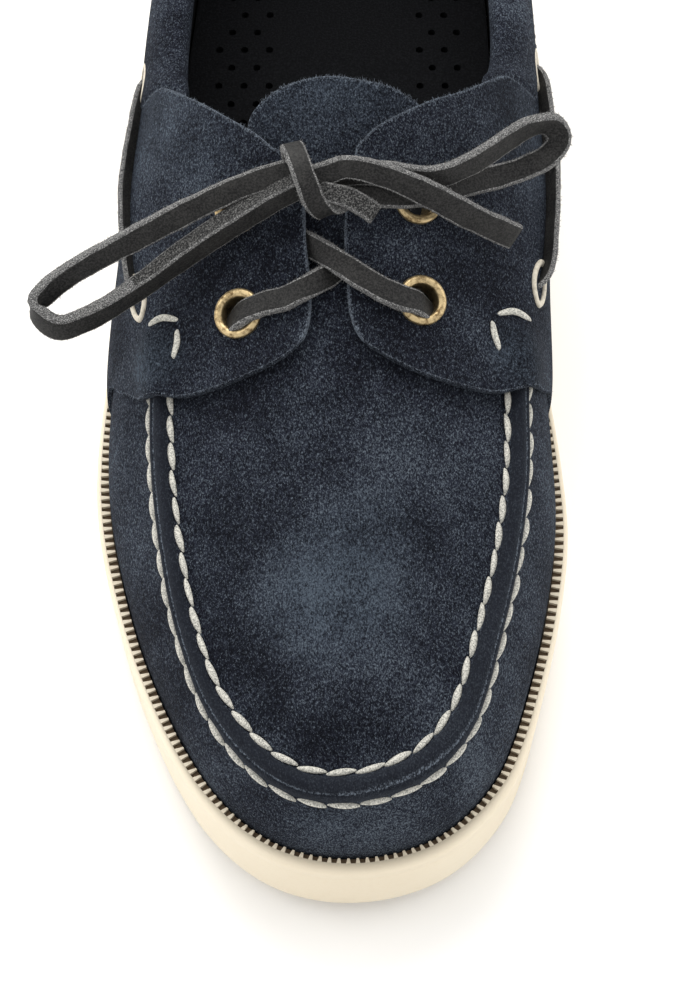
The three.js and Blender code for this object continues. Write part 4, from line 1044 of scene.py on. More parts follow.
corner_rise = rib_end(front_place + UPPER_STEP, TOP_LAP)
columns_total = len(upper_columns(0.0))
throat_column = int(np.abs(upper_columns(front_place) - corner_rise).argmin())
rises = np.empty((len(places), columns_total))
for row, place in enumerate(places):
    column_rises = upper_columns(place)
    if abs(place) > front_place:
        column_rises = column_rises * rib_end(place, TOP_LAP) / column_rises[throat_column]
    rises[row] = np.minimum(column_rises, 2)
station_grid = np.repeat(places[:, None], columns_total, axis=1)
flat = on_last(station_grid, rises)
distance = from_seam(station_grid, rises)
lift = seam_lift(distance) * seam_fade(flat)
outer = over_ridge(station_grid, rises, 0.0, lift)
inner = over_ridge(station_grid, rises, -WALL, 0.35 * lift)
for grid, offset in ((outer, 0.0), (inner, -WALL)):
    cup = on_last(places, np.zeros(len(places)), np.full(len(places), offset))
    cup[:, 2] = rim_top(along_of(cup[:, 1])) - CUP_DEPTH + GAP
    if offset == 0.0:
        outer = np.concatenate([cup[:, None], grid], axis=1)
    else:
        inner = np.concatenate([cup[:, None], grid], axis=1)
columns = columns_total + 1
cells = []
for row in range(len(places)):
    following = (row + 1) % len(places)
    rear = abs(places[row]) > front_place or abs(places[following]) > front_place
    for column in range(columns - 1):
        if rear and column > throat_column:
            continue
        face = []
        for r, c in ((row, column), (row, column + 1), (following, column + 1), (following, column)):
            if c == columns - 1:
                r = min(r, (len(places) - r) % len(places))
            index = r * columns + c
            if index not in face:
                face.append(index)
        if len(face) > 2:
            cells.append(tuple(face))
from_line = np.concatenate([distance[:, :1], distance], axis=1)
shown = np.concatenate([seam_fade(flat)[:, :1], seam_fade(flat)], axis=1)
crease = 0.95 * np.exp(-((from_line - CREASE) / 0.4) ** 2) * shown
# The band marks the strip between the stitch rows. The finish paints it darker, partly as smoother leather and partly
# as painted shade.
band = ease(-3.7, -3.1, from_line) * (1 - ease(2.0, 2.7, from_line)) * shown
upper = thick_sheet(
    "upper_shell", outer.reshape(-1, 3), inner.reshape(-1, 3), cells, [upper_suede, lining],
    node="upper", marks={"raw_edge": crease.ravel(), "seam_band": band.ravel()},
)

# Two rows of thick waxed thread hold the raised seam, each stitch a flat lens laid end to
# end with the next.
STITCH_PITCH = 6.3
STITCH_WIDTH = 1.55
STITCH_HEIGHT = 0.85
THREAD_COLOUR = (0.66, 0.64, 0.57, 1)
THREAD_SHADE_COLOUR = (0.22, 0.22, 0.20, 1)

thread, thread_shader, place = new_finish("waxed_thread", 0.8)
strand = place.grain(0.35, 3, 0.7)
strand.ease(0.36, 0.60).blend(THREAD_SHADE_COLOUR, THREAD_COLOUR).feed(thread_shader, "Base Color")
strand.bump(0.15, 0.7).feed(thread_shader, "Normal")


def add_stitch(points, faces, start, end, normal, width=STITCH_WIDTH, height=STITCH_HEIGHT, bow=0.0):
    """One lens of thread from start to end, lying on a surface with that normal."""
    start, end, normal = np.array(start, float), np.array(end, float), unit(np.array(normal, float))
    run = unit(end - start)
    across = np.cross(normal, run)
    first = len(points)
    rings, sides = 11, 10
    for ring in range(rings):
        share = ring / (rings - 1)
        arch = math.sin(math.pi * share)
        swell = max(0.2, arch ** 0.55)
        rise = height * (arch ** 0.5 - 0.6)
        centre = start + (end - start) * share + normal * rise + across * bow * arch
        for side in range(sides):
            angle = side / sides * 2 * math.pi
            points.append(centre + across * math.cos(angle) * width / 2 * swell + normal * math.sin(angle) * height * 0.62 * swell)
    faces += ring_faces(rings, sides, first)
    faces += [tuple(first + side for side in range(sides)), tuple(first + (rings - 1) * sides + side for side in range(sides))]


STITCHED_TO = 0.385
ROWS = ((3.15, 0.45, 0.45, -0.3, 1.0), (-4.1, 0.85, 2.4, 0.3, 1.15))

points, faces = [], []
draw = random.Random(11)
run = np.arange(-17.0, 17.0, 0.02)
stitch_count = 0
for row_distance, raised, upright, lean, broad in ROWS:
    rises = rise_at(run, np.full(len(run), row_distance))
    path = over_ridge(run, rises, 0.0, raised * seam_fade(on_last(run, rises)))
    normals = unit(read_last(last_normals, run, rises) + [0, 0, upright])
    keep = along_of(path[:, 1]) < STITCHED_TO
    path, normals = path[keep], normals[keep]
    walked = np.concatenate([[0], np.cumsum(np.linalg.norm(np.diff(path, axis=0), axis=1))])
    stitch_count = stitch_count or int(walked[-1] / STITCH_PITCH)
    pitch = walked[-1] / stitch_count
    for stitch in range(stitch_count):
        begin = (stitch - 0.03 + draw.uniform(-0.03, 0.03)) * pitch
        finish_at = (stitch + 1.03 + draw.uniform(-0.03, 0.03)) * pitch
        ends_of = [np.array([np.interp(place, walked, path[:, axis]) for axis in range(3)]) for place in (begin, finish_at)]
        normal = np.array([np.interp((begin + finish_at) / 2, walked, normals[:, axis]) for axis in range(3)])
        sideways = unit(np.cross(normal, ends_of[1] - ends_of[0]))
        tilt = lean * (1 + draw.uniform(-0.3, 0.3))
        width = STITCH_WIDTH * broad * draw.uniform(0.88, 1.1)
        start, end = ends_of[0] + sideways * tilt, ends_of[1] - sideways * tilt
        add_stitch(points, faces, start, end, normal, width, bow=draw.uniform(-0.12, 0.12))
make_piece("seam_stitches", points, faces, [thread])

# Each quarter is one piece of suede from the heel seam forward over the vamp, where it ends
# in the rounded flap that carries two eyelets. Its edges are raw and slightly frayed.
QUARTER = 1.8
FLAP_TOP = GAP + QUARTER
FLAP_SPREAD = 0.45
FLAP_CORNER = 0.353
QUARTER_ROWS = 250
QUARTER_COLUMNS = 84
FRONT_LIFT = 0.7
EYELET_BORE = 3.6
COLLAR_STEP = (0.583, 0.6)
HUMP = 3.4
HUMP_REACH = 4.8
HUMP_OUTER_REACH = 8.5
FOOT_BACK = 4.0
TOP_FIBRES = 11
FRONT_FIBRES = 5
LATERAL_FLAP = [
    (0.51, -0.12), (0.474, -0.07), (0.45, -0.055), (0.42, -0.05), (0.385, -0.04), (0.365, -0.043), (0.353, -0.055),
    (0.342, -0.092), (0.334, -0.15), (0.328, -0.25), (0.33, -0.32), (0.339, -0.385), (0.361, -0.436), (0.378, -0.49),
]
MEDIAL_FLAP = [
    (0.51, 0.07), (0.473, 0.046), (0.446, 0.032), (0.418, 0.029), (0.393, 0.034), (0.37, 0.04), (0.353, 0.062),
    (0.342, 0.111), (0.333, 0.184), (0.33, 0.31), (0.336, 0.378), (0.344, 0.41), (0.362, 0.458), (0.376, 0.5),
]
EYELETS = {
    "eyelet_lateral_front": (-0.186, 0.378),
    "eyelet_lateral_back": (-0.187, 0.452),
    "eyelet_medial_front": (0.184, 0.385),
    "eyelet_medial_back": (0.177, 0.456),
}

flat_cells = grid_cells(len(stations), last_points.shape[1], closed=True)
last_tree = BVHTree.FromPolygons(last_points.reshape(-1, 3).tolist(), flat_cells)


def locate(x, y, lift=0.0):
    """The station and rise whose point, that lift off the last, is above a place in plan."""
    aim_x, aim_y = x, y
    columns = last_points.shape[1]
    for _ in range(5 if lift else 1):
        index = last_tree.ray_cast(Vector((aim_x, aim_y, 2 * INSTEP_HEIGHT)), Vector((0, 0, -1)))[2]
        row, column = divmod(index, columns - 1)
        corner = [last_points[(row + a) % len(stations), column + b, :2].tolist() for a, b in ((0, 0), (0, 1), (1, 1), (1, 0))]
        across, up = 0.5, 0.5
        for _ in range(5):
            here, by_across, by_up = [], [], []
            for axis in range(2):
                a, b, c, d = (point[axis] for point in corner)
                here.append((a * (1 - up) + b * up) * (1 - across) + (d * (1 - up) + c * up) * across)
                by_across.append((d - a) * (1 - up) + (c - b) * up)
                by_up.append((b - a) * (1 - across) + (c - d) * across)
            miss_x, miss_y = aim_x - here[0], aim_y - here[1]
            area = by_across[0] * by_up[1] - by_across[1] * by_up[0]
            if abs(area) < 1e-9:
                break
            across = min(1.0, max(0.0, across + (miss_x * by_up[1] - miss_y * by_up[0]) / area))
            up = min(1.0, max(0.0, up + (by_across[0] * miss_y - by_across[1] * miss_x) / area))
        station = (row + across) / PER_STATION
        column += up
        rise = column / WALL_STEPS if column < WALL_STEPS else 1 + (column - WALL_STEPS) / PLUG_STEPS
        if lift:
            reached = on_last(np.array([station]), np.array([rise]), lift)[0]
            aim_x += x - reached[0]
            aim_y += y - reached[1]
    return station, rise


def top_line_rise(side, place):
    """The rise at which a quarter ends: at the top line, or under the collar behind its start."""
    station = place if side == "lateral" else RING - place
    rib = on_last(np.full(400, station), FINE_RISES, FLAP_TOP)
    along = along_of(rib[:, 1])
    gap = rib[:, 2] - top_height(side, along) + (COLLAR_HEIGHT - 1.5) * ease(*COLLAR_STEP, along)
    over = np.nonzero(gap > 0)[0]
    if not len(over) or over[0] == 0:
        return 2.0
    last = over[0]
    share = -gap[last - 1] / (gap[last] - gap[last - 1])
    return float(FINE_RISES[last - 1] + share * (FINE_RISES[last] - FINE_RISES[last - 1]))


def resample(line, count, scale=(1.0, 5.0)):
    walked = np.concatenate([[0], np.cumsum(np.linalg.norm(np.diff(line, axis=0) * scale, axis=1))])
    wanted = np.linspace(0, walked[-1], count)
    return np.column_stack([np.interp(wanted, walked, line[:, axis]) for axis in range(line.shape[1])])


def patch(bottom, top, left, right):
    """A grid of places between four border lines, left and right running from bottom to top."""
    u = np.linspace(0, 1, len(bottom))[:, None, None]
    w = np.linspace(0, 1, len(left))[None, :, None]
    edges = (1 - w) * bottom[:, None] + w * top[:, None] + (1 - u) * left[None] + u * right[None]
    corners = (1 - u) * (1 - w) * bottom[0] + u * (1 - w) * bottom[-1] + (1 - u) * w * top[0] + u * w * top[-1]
    return edges - corners


def edge_distance(points, borders):
    """How far each point of a grid is from the nearest point of some border lines."""
    flat_points = points.reshape(-1, 3)
    border = np.vstack(borders)
    nearest = np.full(len(flat_points), 1e9)
    for start in range(0, len(border), 40):
        gap = np.linalg.norm(flat_points[:, None] - border[None, start:start + 40], axis=2)
        nearest = np.minimum(nearest, gap.min(axis=1))
    return nearest.reshape(points.shape[:2])


FLAP_WORN = [
    ((-39, -41, 54), 2, 11, 0.7), ((42, -41, 56), 2, 11, 0.6), ((-41, 20, 62), 3, 24, 0.35), ((44, 16, 62), 3, 24, 0.3),
    ((-30, 4, 76), 2, 18, 0.3),
]
quarter_suede = suede_finish("quarter_suede", FLAP_WORN)


def round_edges(piece, width=0.45, segments=2):
    edge = piece.modifiers.new("edge", "BEVEL")
    edge.width = width * MM
    edge.segments = segments
    edge.limit_method = "ANGLE"
    edge.angle_limit = math.radians(55)
    keep_shape(piece)


def eyelet_cutters(names, radius, depth):
    points, faces = [], []
    for name in names:
        out, along = EYELETS[name]
        station, rise = (np.array([value]) for value in locate(out * BALL_WIDTH, y_of(along), FLAP_TOP))
        centre = on_last(station, rise)[0]
        normal = unit(read_last(last_normals, station, rise))[0]
        side = unit(np.cross(normal, [0, 1, 0]))
        up = np.cross(normal, side)
        first = len(points)
        for height in (-depth, depth + 3):
            for corner in range(24):
                angle = corner / 24 * 2 * math.pi
                points.append(centre + normal * height + radius * (side * math.cos(angle) + up * math.sin(angle)))
        faces += ring_faces(2, 24, first)
        faces += [tuple(first + corner for corner in range(24)), tuple(first + 24 + corner for corner in range(24))]
    return points, faces


def quarter_places(side, rows):
    """The grid of stations and rises that one quarter covers."""
    plan = smooth_line([(out * BALL_WIDTH, y_of(along)) for along, out in rows], 260)
    corner_out, corner_along = next((out, along) for along, out in rows if along == FLAP_CORNER)
    corner = int(np.linalg.norm(plan - [corner_out * BALL_WIDTH, y_of(corner_along)], axis=1).argmin())
    spread = FLAP_SPREAD * BALL_WIDTH
    found = []
    for index, (x, y) in enumerate(plan):
        if abs(x) < spread:
            station, rise = locate(x, y, FLAP_TOP)
            found.append((index, station if side == "lateral" else RING - station, rise))
    front = np.array([(place, rise) for index, place, rise in found if index >= corner])[::-1]
    foot_y = plan[np.abs(np.abs(plan[:, 0]) - 0.468 * BALL_WIDTH).argmin(), 1] + FOOT_BACK
    side_places = np.linspace(4, 30, 400)
    foot_line = foot_at(side_places if side == "lateral" else RING - side_places)[:, 1]
    foot_place = float(np.interp(foot_y, foot_line, side_places))
    front = smooth_line(np.vstack([[(foot_place, 0.0)], [(foot_place, 0.35)], front[::6], front[-1:]]) * (1, 5), 120) / (1, 5)
    throat = []
    for index, place, rise in found[:corner + 1][::-1]:
        station = place if side == "lateral" else RING - place
        point = on_last(np.array([station]), np.array([rise]), FLAP_TOP)[0]
        if along_of(point[1]) > TOP_START and point[2] > top_height(side, along_of(point[1])):
            break
        throat.append((place, rise))
    start = throat[-1][0]
    tops = [(place, top_line_rise(side, place)) for place in np.linspace(start + 0.15, STATIONS, 300)]
    tops = [row for row in tops if row[1] < throat[-1][1]]
    top = np.vstack([throat, tops])
    bottom = np.column_stack([np.linspace(foot_place, STATIONS, 300), np.zeros(300)])
    heel_rise = top[-1, 1]
    right = np.column_stack([np.full(2, float(STATIONS)), [0.0, heel_rise]])
    return patch(
        resample(bottom, QUARTER_ROWS),
        resample(top, QUARTER_ROWS),
        resample(front, QUARTER_COLUMNS),
        resample(right, QUARTER_COLUMNS),
    )


def hump_over(station, rise):
    """How far a flap is lifted where it lies over the end of the seam."""
    way = from_seam(station, rise)
    reach = np.where(way < 0, HUMP_OUTER_REACH, HUMP_REACH)
    return HUMP * np.exp(-(way / reach) ** 2) * seam_fade(on_last(station, rise))


raw_borders = []
for side, rows in (("lateral", LATERAL_FLAP), ("medial", MEDIAL_FLAP)):
    grid = quarter_places(side, rows)
    station = grid[..., 0] if side == "lateral" else RING - grid[..., 0]
    rise = np.clip(grid[..., 1], 0, 2)
    flat = on_last(station, rise)
    hump = hump_over(station, rise)
    front_away = edge_distance(flat, [flat[0]])
    lift = FRONT_LIFT * np.exp(-front_away / 3.5) * ease(0.95, 1.1, rise)
    skived = 1 - 0.55 * np.exp(-front_away / 5) * (1 - ease(0.7, 0.95, rise))
    outer = over_ridge(station, rise, GAP + QUARTER * skived + lift, hump)
    inner = over_ridge(station, rise, GAP * skived + lift, hump)
    outer[:, 0, 2] = np.maximum(outer[:, 0, 2], rim_top(along_of(outer[:, 0, 1])) + 0.15)
    inner[:, 0, 2] = np.maximum(inner[:, 0, 2], rim_top(along_of(inner[:, 0, 1])) + 0.15)
    top_away = edge_distance(flat, [flat[:int(QUARTER_ROWS * 0.45), -1]])
    raw = np.maximum(np.exp(-(top_away / 1.1) ** 1.5), 0.6 * np.exp(-(front_away / 0.9) ** 1.5))
    cells = grid_cells(QUARTER_ROWS, QUARTER_COLUMNS)
    piece = thick_sheet(
        "quarter_sheet_" + side, outer.reshape(-1, 3), inner.reshape(-1, 3), cells, [quarter_suede, lining],
        node="quarter_" + side, marks={"raw_edge": raw.ravel()},
    )
    names = [name for name in EYELETS if side in name]
    cut_away(piece, *eyelet_cutters(names, EYELET_BORE + 0.9, 5))
    round_edges(piece)
    raw_borders.append((outer[:int(QUARTER_ROWS * 0.45), -1], outer[:int(QUARTER_ROWS * 0.45), -3], TOP_FIBRES))
    raw_borders.append((outer[0, QUARTER_COLUMNS // 4:], outer[2, QUARTER_COLUMNS // 4:], FRONT_FIBRES))
cut_away(upper, *eyelet_cutters(list(EYELETS), EYELET_BORE + 0.9, 5))

# The collar is a padded roll of the same suede round the ankle, sewn to the quarters along
# its lower edge and lined inside.
COLLAR_THICKNESS = 9.6
COLLAR_ROWS = 200
COLLAR_FRONT = 0.574
TUCK = 2.6
COLLAR_PROFILE = [
    (0.09, -0.02), (0.0, 0.04), (-0.05, 0.16), (-0.065, 0.36), (-0.03, 0.6), (0.02, 0.76), (0.14, 0.9), (0.3, 0.98), (0.5, 1.01), (0.7, 0.95),
    (0.87, 0.78), (0.97, 0.55), (0.98, 0.3), (0.93, 0.05), (0.6, -0.04), (0.3, -0.05), (0.16, -0.05),
]
collar_suede = suede_finish("collar_suede")
section = smooth_line(COLLAR_PROFILE, 34, closed=True)


def wall_rib(side, place):
    """Points up the last at a place, fine enough to read at any height, with their rises."""
    station = place if side == "lateral" else RING - place
    rises = np.linspace(0, 1.9, 160)
    return on_last(np.full(160, station), rises), rises


def collar_top(side, place):
    """The height of the top line at a place, and how far along the shoe it is there."""
    rib, _ = wall_rib(side, place)
    gap = rib[:, 2] - top_height(side, along_of(rib[:, 1]))
    over = np.nonzero(gap > 0)[0][0]
    share = -gap[over - 1] / (gap[over] - gap[over - 1])
    point = rib[over - 1] + share * (rib[over] - rib[over - 1])
    return point[2], along_of(point[1]), rib


def collar_section(side, place, shrink=1.0):
    station = place if side == "lateral" else RING - place
    top, here, rib = collar_top(side, place)
    foot_point = foot_at(np.array([station]))[0]
    direction = unit(on_last(np.array([station]), np.array([2.0]))[0, :2] - foot_point)
    tucked = TUCK * (1 - ease(*COLLAR_STEP, here))
    thickness = COLLAR_THICKNESS - tucked - 2.5 * (1 - ease(COLLAR_FRONT, COLLAR_FRONT + 0.02, here))
    top -= 0.6 * tucked
    points = []
    for inset, up in section:
        height = top - COLLAR_HEIGHT * (0.5 - (up - 0.5) * shrink)
        depth = (0.5 + (inset - 0.5) * shrink) * thickness - FLAP_TOP + tucked
        points.append([np.interp(height, rib[:, 2], rib[:, axis]) + direction[axis] * depth for axis in range(2)] + [height])
    return points


def place_at_along(side, along, height):
    low, high = 7.0, float(STATIONS)
    for _ in range(16):
        middle = (low + high) / 2
        rib, _ = wall_rib(side, middle)
        if along_of(np.interp(height, rib[:, 2], rib[:, 1])) < along:
            low = middle
        else:
            high = middle
    return (low + high) / 2


collar_from = place_at_along("lateral", COLLAR_FRONT, float(top_height("lateral", np.array([COLLAR_FRONT]))[0]))
collar_to = place_at_along("medial", COLLAR_FRONT, float(top_height("medial", np.array([COLLAR_FRONT]))[0]))
run = np.concatenate([np.linspace(collar_from, STATIONS, COLLAR_ROWS // 2), -np.linspace(STATIONS, collar_to, COLLAR_ROWS // 2)[1:]])
rings = []
for index, place in enumerate(run):
    from_end = min(index, len(run) - 1 - index)
    shrink = [0.55, 0.78, 0.9, 0.97][from_end] if from_end < 4 else 1.0
    rings.append(collar_section("lateral" if place > 0 else "medial", abs(place), shrink))
size = len(section)
points = np.array(rings).reshape(-1, 3)
faces = ring_faces(len(rings), size)
looks = []
for ring in range(len(rings) - 1):
    for corner in range(size):
        looks.append(1 if section[corner, 0] > 0.9 and section[corner, 1] < 0.6 else 0)
faces += [tuple(range(size)), tuple(range((len(rings) - 1) * size, len(rings) * size))]
collar = make_piece("collar_roll", points, faces, [collar_suede, lining], looks + [0, 0], node="collar")

# Navy stitches close the collar along its foot, and two rows run down beside the heel seam.
FINE_PITCH = 3.2
FINE_LENGTH = 2.5
FINE_WIDTH = 0.6
BELOW_COLLAR = 1.3
BESIDE_HEEL = 2.4
COLLAR_ROW_FROM = 0.665
navy_thread, navy_shader, place = new_finish("navy_thread", 0.8)
place.grain(0.5, 2, 0.5).ease(0.3, 0.7).blend((0.010, 0.013, 0.022, 1), (0.045, 0.055, 0.08, 1)).feed(navy_shader, "Base Color")


def on_quarter(side, place, height):
    """A point on the face of a quarter at a place and height, and the way it faces."""
    station = place if side == "lateral" else RING - place
    rises = np.linspace(0, 1.9, 160)
    low, high = (on_last(np.full(160, station), rises, FLAP_TOP + lift) for lift in (0.05, 1.05))
    point = np.array([np.interp(height, low[:, 2], low[:, axis]) for axis in range(3)])
    index = int(np.abs(low[:, 2] - height).argmin())
    return point, high[index] - low[index]


rows = []
for side in ("lateral", "medial"):
    start = place_at_along(side, COLLAR_ROW_FROM, float(top_height(side, np.array([COLLAR_ROW_FROM]))[0]))
    places = np.linspace(start, STATIONS - 0.1, 70)
    rows.append([on_quarter(side, p, collar_top(side, p)[0] - COLLAR_HEIGHT - BELOW_COLLAR) for p in places])
    heel_foot = foot_at(np.array([STATIONS, STATIONS - 0.5]))
    beside = STATIONS - 0.5 * BESIDE_HEEL / np.linalg.norm(heel_foot[0] - heel_foot[1])
    heel_top = collar_top(side, beside)[0] - COLLAR_HEIGHT - 2 * BELOW_COLLAR
    rows.append([on_quarter(side, beside, height) for height in np.linspace(RIM_HEIGHT + 3, heel_top, 20)])
points, faces = [], []
for row in rows:
    path = np.array([point for point, _ in row])
    walked = np.concatenate([[0], np.cumsum(np.linalg.norm(np.diff(path, axis=0), axis=1))])
    for begin in np.arange(0, walked[-1] - FINE_LENGTH, FINE_PITCH):
        ends = [np.array([np.interp(walk, walked, path[:, axis]) for axis in range(3)]) for walk in (begin, begin + FINE_LENGTH)]
        normal = row[int(np.abs(walked - begin).argmin())][1]
        add_stitch(points, faces, *ends, normal, FINE_WIDTH, 0.45)
make_piece("navy_stitches", points, faces, [navy_thread])

# The tongue lies under the flaps, a single layer of suede with a raw, rounded end.
TONGUE = 2.0
TONGUE_ROWS = 70
TONGUE_COLUMNS = 64
TONGUE_CURL = 0.5
TONGUE_SIDES = [
    [(0.35, -0.135), (0.40, -0.135), (0.473, -0.137), (0.5, -0.166), (0.515, -0.177), (0.525, -0.169), (0.532, -0.149)],
    [(0.35, 0.121), (0.40, 0.121), (0.477, 0.123), (0.5, 0.159), (0.516, 0.196), (0.527, 0.192), (0.534, 0.168)],
]
TONGUE_END = [(0.532, -0.149), (0.537, -0.119), (0.541, -0.07), (0.5425, -0.01), (0.541, 0.055), (0.5395, 0.115), (0.534, 0.168)]
TONGUE_WORN = [((-8, 8, 88), 2, 24, 0.35), ((12, 8, 88), 2, 20, 0.3)]
tongue_suede = suede_finish("tongue_suede", TONGUE_WORN)
middle_x = float(spine_x(np.array([THROAT_MIDDLE]))[0])


def in_plan(rows, count):
    return smooth_line([(middle_x + out * BALL_WIDTH, y_of(along)) for along, out in rows], count)


left, right = (in_plan(rows, TONGUE_COLUMNS) for rows in TONGUE_SIDES)
front = np.linspace(left[0], right[0], TONGUE_ROWS)
plan = patch(front, in_plan(TONGUE_END, TONGUE_ROWS), left, right)
found = np.array([[locate(x, y, -WALL - GAP) for x, y in row] for row in plan])
flat = on_last(found[..., 0], found[..., 1])
free_end = ease(0.505, 0.55, along_of(flat[..., 1]))
lift = -(WALL + GAP) + TONGUE_CURL * free_end
outer = on_last(found[..., 0], found[..., 1], lift)
inner = on_last(found[..., 0], found[..., 1], lift - TONGUE)
away = edge_distance(outer, [outer[:, -1], outer[0, 40:], outer[-1, 40:]])
tongue = thick_sheet(
    "tongue_sheet", outer.reshape(-1, 3), inner.reshape(-1, 3), grid_cells(TONGUE_ROWS, TONGUE_COLUMNS), [tongue_suede, lining],
    node="tongue", marks={"raw_edge": np.exp(-(away / 1.1) ** 1.5).ravel()},
)
round_edges(tongue)
raw_borders.append((outer[:, -1], outer[:, -3], TOP_FIBRES))

draw = random.Random(8)
points, faces = [], []
for border, inside, per_mm in raw_borders:
    outward = unit(border - inside)
    for _ in range(int(line_length(border) * per_mm)):
        index = draw.randrange(1, len(border))
        share = draw.random()
        root = border[index] * share + border[index - 1] * (1 - share) - outward[index] * 0.35
        add_fibre(points, faces, root, outward[index] + (0, 0, 0.25), draw, 0.9)
suede_fibre, fibre_shader, place = new_finish("suede_fibre", 0.95)
place.grain(0.5, 2, 0.5).ease(0.35, 0.7).blend(SUEDE_BLUE, FRAYED_COLOUR).feed(fibre_shader, "Base Color")
make_piece("raw_edge_fibres", points, faces, [suede_fibre])

# Each eyelet is a rolled ring of antique brass on a short barrel through flap and upper.
EYELET_RADIUS = 5.6
BRASS_COLOUR = (0.58, 0.45, 0.25, 1)
BRASS_TARNISH_COLOUR = (0.14, 0.09, 0.04, 1)
brass, brass_shader, place = new_finish("antique_brass", 0.35)
tarnish = place.grain(1.6, 4, 0.7)
tarnish.ease(0.42, 0.7).blend(BRASS_COLOUR, BRASS_TARNISH_COLOUR).feed(brass_shader, "Base Color")
(0.26 + tarnish * 0.35).feed(brass_shader, "Roughness")
place.grain(0.6, 3, 0.6).bump(0.05, 0.4).feed(brass_shader, "Normal")
brass_shader.inputs["Metallic"].default_value = 1.0

ROLL = [(EYELET_BORE, -4.2), (EYELET_BORE, FLAP_TOP + 0.2)]
for step in range(13):
    angle = math.pi - step / 12 * math.pi * 1.12
    half_roll = (EYELET_RADIUS - EYELET_BORE) / 2
    ROLL.append((EYELET_BORE + half_roll * (1 + math.cos(angle)), FLAP_TOP + 0.35 + 0.95 * math.sin(angle)))
ROLL += [(EYELET_BORE + 0.65, FLAP_TOP - 0.25), (EYELET_BORE + 0.65, -4.2)]
for name, (out, along) in EYELETS.items():
    station, rise = (np.array([value]) for value in locate(out * BALL_WIDTH, y_of(along), FLAP_TOP))
    centre = on_last(station, rise)[0]
    normal = unit(read_last(last_normals, station, rise))[0]
    across = unit(np.cross(normal, [0, 1, 0]))
    up = np.cross(normal, across)
    points = []
    for corner in range(56):
        angle = corner / 56 * 2 * math.pi
        points += [centre + normal * height + radius * (across * math.cos(angle) + up * math.sin(angle)) for radius, height in ROLL]
    make_piece(name + "_ring", points, ring_faces(56, len(ROLL), closed=True), [brass], node=name)

# The same thong crosses the throat from the front eyelets, one length over the other, and
# runs along each quarter through slits bound in pale leather.
LATERAL_BAR = [
    (-23.2, 110.6, -1.0), (-21.4, 111.2, 1.2), (-19.0, 111.9, 3.0), (-14.7, 112.6, 3.7), (-9.6, 113.2, 3.6), (-5.6, 115.0, 3.3),
    (-2.2, 117.6, 1.5), (1.0, 120.4, -0.3), (4.5, 123.2, -0.85), (8.0, 126.2, -0.9),
]
MEDIAL_BAR = [
    (22.6, 112.6, -1.0), (21.0, 113.0, 1.2), (18.6, 113.5, 3.0), (14.5, 113.8, 3.7), (9.8, 115.5, 3.6), (4.6, 118.4, 3.4),
    (0.6, 121.2, 2.9), (-2.6, 124.2, 1.1), (-5.6, 126.8, -0.6), (-8.4, 129.0, -0.9),
]


def over_last(route):
    """A route given as across, from the toe tip and off the last, in the frame of the shoe."""
    found = []
    for x, d, lift in route:
        station, rise = (np.array([value]) for value in locate(x, d - LENGTH / 2, lift))
        found.append(tuple(on_last(station, rise, lift)[0]))
    return found


points, faces, looks = [], [], []
for seed, route, hint in ((21, LATERAL_BAR, (0.25, 0.9, 0.25)), (22, MEDIAL_BAR, (-0.25, 0.9, 0.3))):
    bar_points, bar_faces, bar_looks, _ = strap_mesh(over_last(route), hint, seed)
    faces += [tuple(len(points) + index for index in face) for face in bar_faces]
    points += bar_points
    looks += bar_looks
make_piece("lace_crossing_bars", points, faces, LACE, looks, node="lace_crossing")

binding, binding_shader, place = new_finish("pale_binding", 0.7)
skin = place.grain(0.9, 3, 0.6)
skin.ease(0.4, 0.75).blend((0.62, 0.57, 0.47, 1), (0.42, 0.38, 0.30, 1)).feed(binding_shader, "Base Color")
skin.bump(0.12, 0.6).feed(binding_shader, "Normal")


SIDE_HEIGHT = 0.476
SLITS = {"lateral": (0.424, 0.622), "medial": (0.437, 0.637)}
SLIT_HALF = (5.4, 2.3)
SIDE_SEAT = {"lateral": 2.9, "medial": 3.7}
SIDE_THICKNESS = 1.3
SIDE_WIDTH = 4.6


def on_side(side, along, height, lift):
    rib, rises = wall_rib(side, place_at_along(side, along, height))
    station = place_at_along(side, along, height)
    station = station if side == "lateral" else RING - station
    rise = np.array([np.interp(height, rib[:, 2], rises)])
    return on_last(np.array([station]), rise, np.array([lift]))[0]


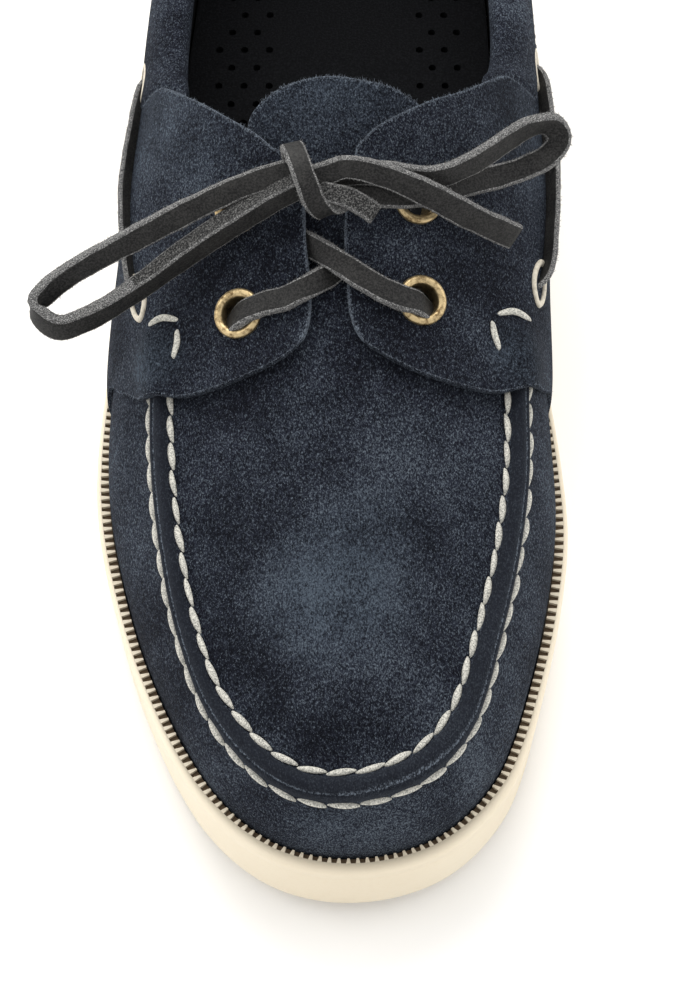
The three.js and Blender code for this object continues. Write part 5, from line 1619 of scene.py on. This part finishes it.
for side, sign in (("lateral", -1), ("medial", 1)):
    front, rear = SLITS[side]
    height = SIDE_HEIGHT * INSTEP_HEIGHT
    seat = SIDE_SEAT[side]
    route = []
    for share, lift in (
        (0.0, -1.0), (0.012, 1.8), (0.05, seat - 0.4), (0.2, seat), (0.5, seat + 0.3), (0.8, seat), (0.95, seat - 0.8),
        (0.985, 1.5), (1.0, -1.0),
    ):
        route.append(tuple(on_side(side, front + (rear - front) * share, height, lift)))
    leans = [(0, -1, 0.1), (0.5 * sign, -0.5, 0.65)] + 16 * [(0.62 * sign, 0, 0.8)] + [(0.5 * sign, 0.5, 0.65), (0, 1, 0.1)]
    strap_points, faces, looks, _ = strap_mesh(route, leans, 31 + sign, thick=SIDE_THICKNESS, width=SIDE_WIDTH)
    make_piece("lace_along_" + side, strap_points, faces, LACE, looks, node="lace_side_" + side)
    points, faces = [], []
    for along in (front, rear):
        first = len(points)
        middle = on_side(side, along, height, FLAP_TOP + 0.1)
        for step in range(28):
            angle = step / 28 * 2 * math.pi
            ring_along = along + SLIT_HALF[0] / LENGTH * math.cos(angle)
            ring_height = height + SLIT_HALF[1] * math.sin(angle)
            centre = on_side(side, ring_along, ring_height, FLAP_TOP + 0.1)
            outward = on_side(side, ring_along, ring_height, FLAP_TOP + 1.1) - centre
            away = unit(centre - middle)
            for corner in range(8):
                turn = corner / 8 * 2 * math.pi
                points.append(centre + away * math.cos(turn) * 0.85 + unit(outward) * math.sin(turn) * 0.6)
        faces += ring_faces(28, 8, first, closed=True)
    make_piece("slit_binding_" + side, points, faces, [binding])

# A single L of the thick thread holds each flap down over the end of the seam.
L_STITCHES = [
    ((-40.0, 117.0), (-37.0, 117.4), (-33.4, 115.6)), ((-33.6, 113.6), (-33.3, 110.4), (-34.2, 107.0)),
    ((36.6, 116.8), (40.2, 118.8), (44.2, 118.8)), ((35.3, 114.8), (35.6, 111.8), (36.8, 108.6)),
]


def on_flap(x, d, lift):
    station, rise = (np.array([value]) for value in locate(x, d - LENGTH / 2, FLAP_TOP))
    return over_ridge(station, rise, FLAP_TOP + lift, hump_over(station, rise))[0], unit(read_last(last_normals, station, rise))[0]


points, faces = [], []
for stitch in L_STITCHES:
    line = smooth_line([on_flap(x, d, 0.25)[0] for x, d in stitch], 15)
    normal = on_flap(*stitch[1], 0)[1]
    tangent = unit(np.gradient(line, axis=0))
    first = len(points)
    for index, centre in enumerate(line):
        arch = math.sin(math.pi * index / (len(line) - 1))
        across = unit(np.cross(normal, tangent[index]))
        swell = max(0.35, arch ** 0.3)
        for corner in range(10):
            angle = corner / 10 * 2 * math.pi
            offset = across * math.cos(angle) * 0.8 * swell + normal * (math.sin(angle) * 0.55 * swell + 0.55 * arch ** 0.4 - 0.45)
            points.append(centre + offset)
    faces += ring_faces(len(line), 10, first)
    faces += [tuple(first + corner for corner in range(10)), tuple(len(points) - 10 + corner for corner in range(10))]
make_piece("flap_stitches", points, faces, [thread])
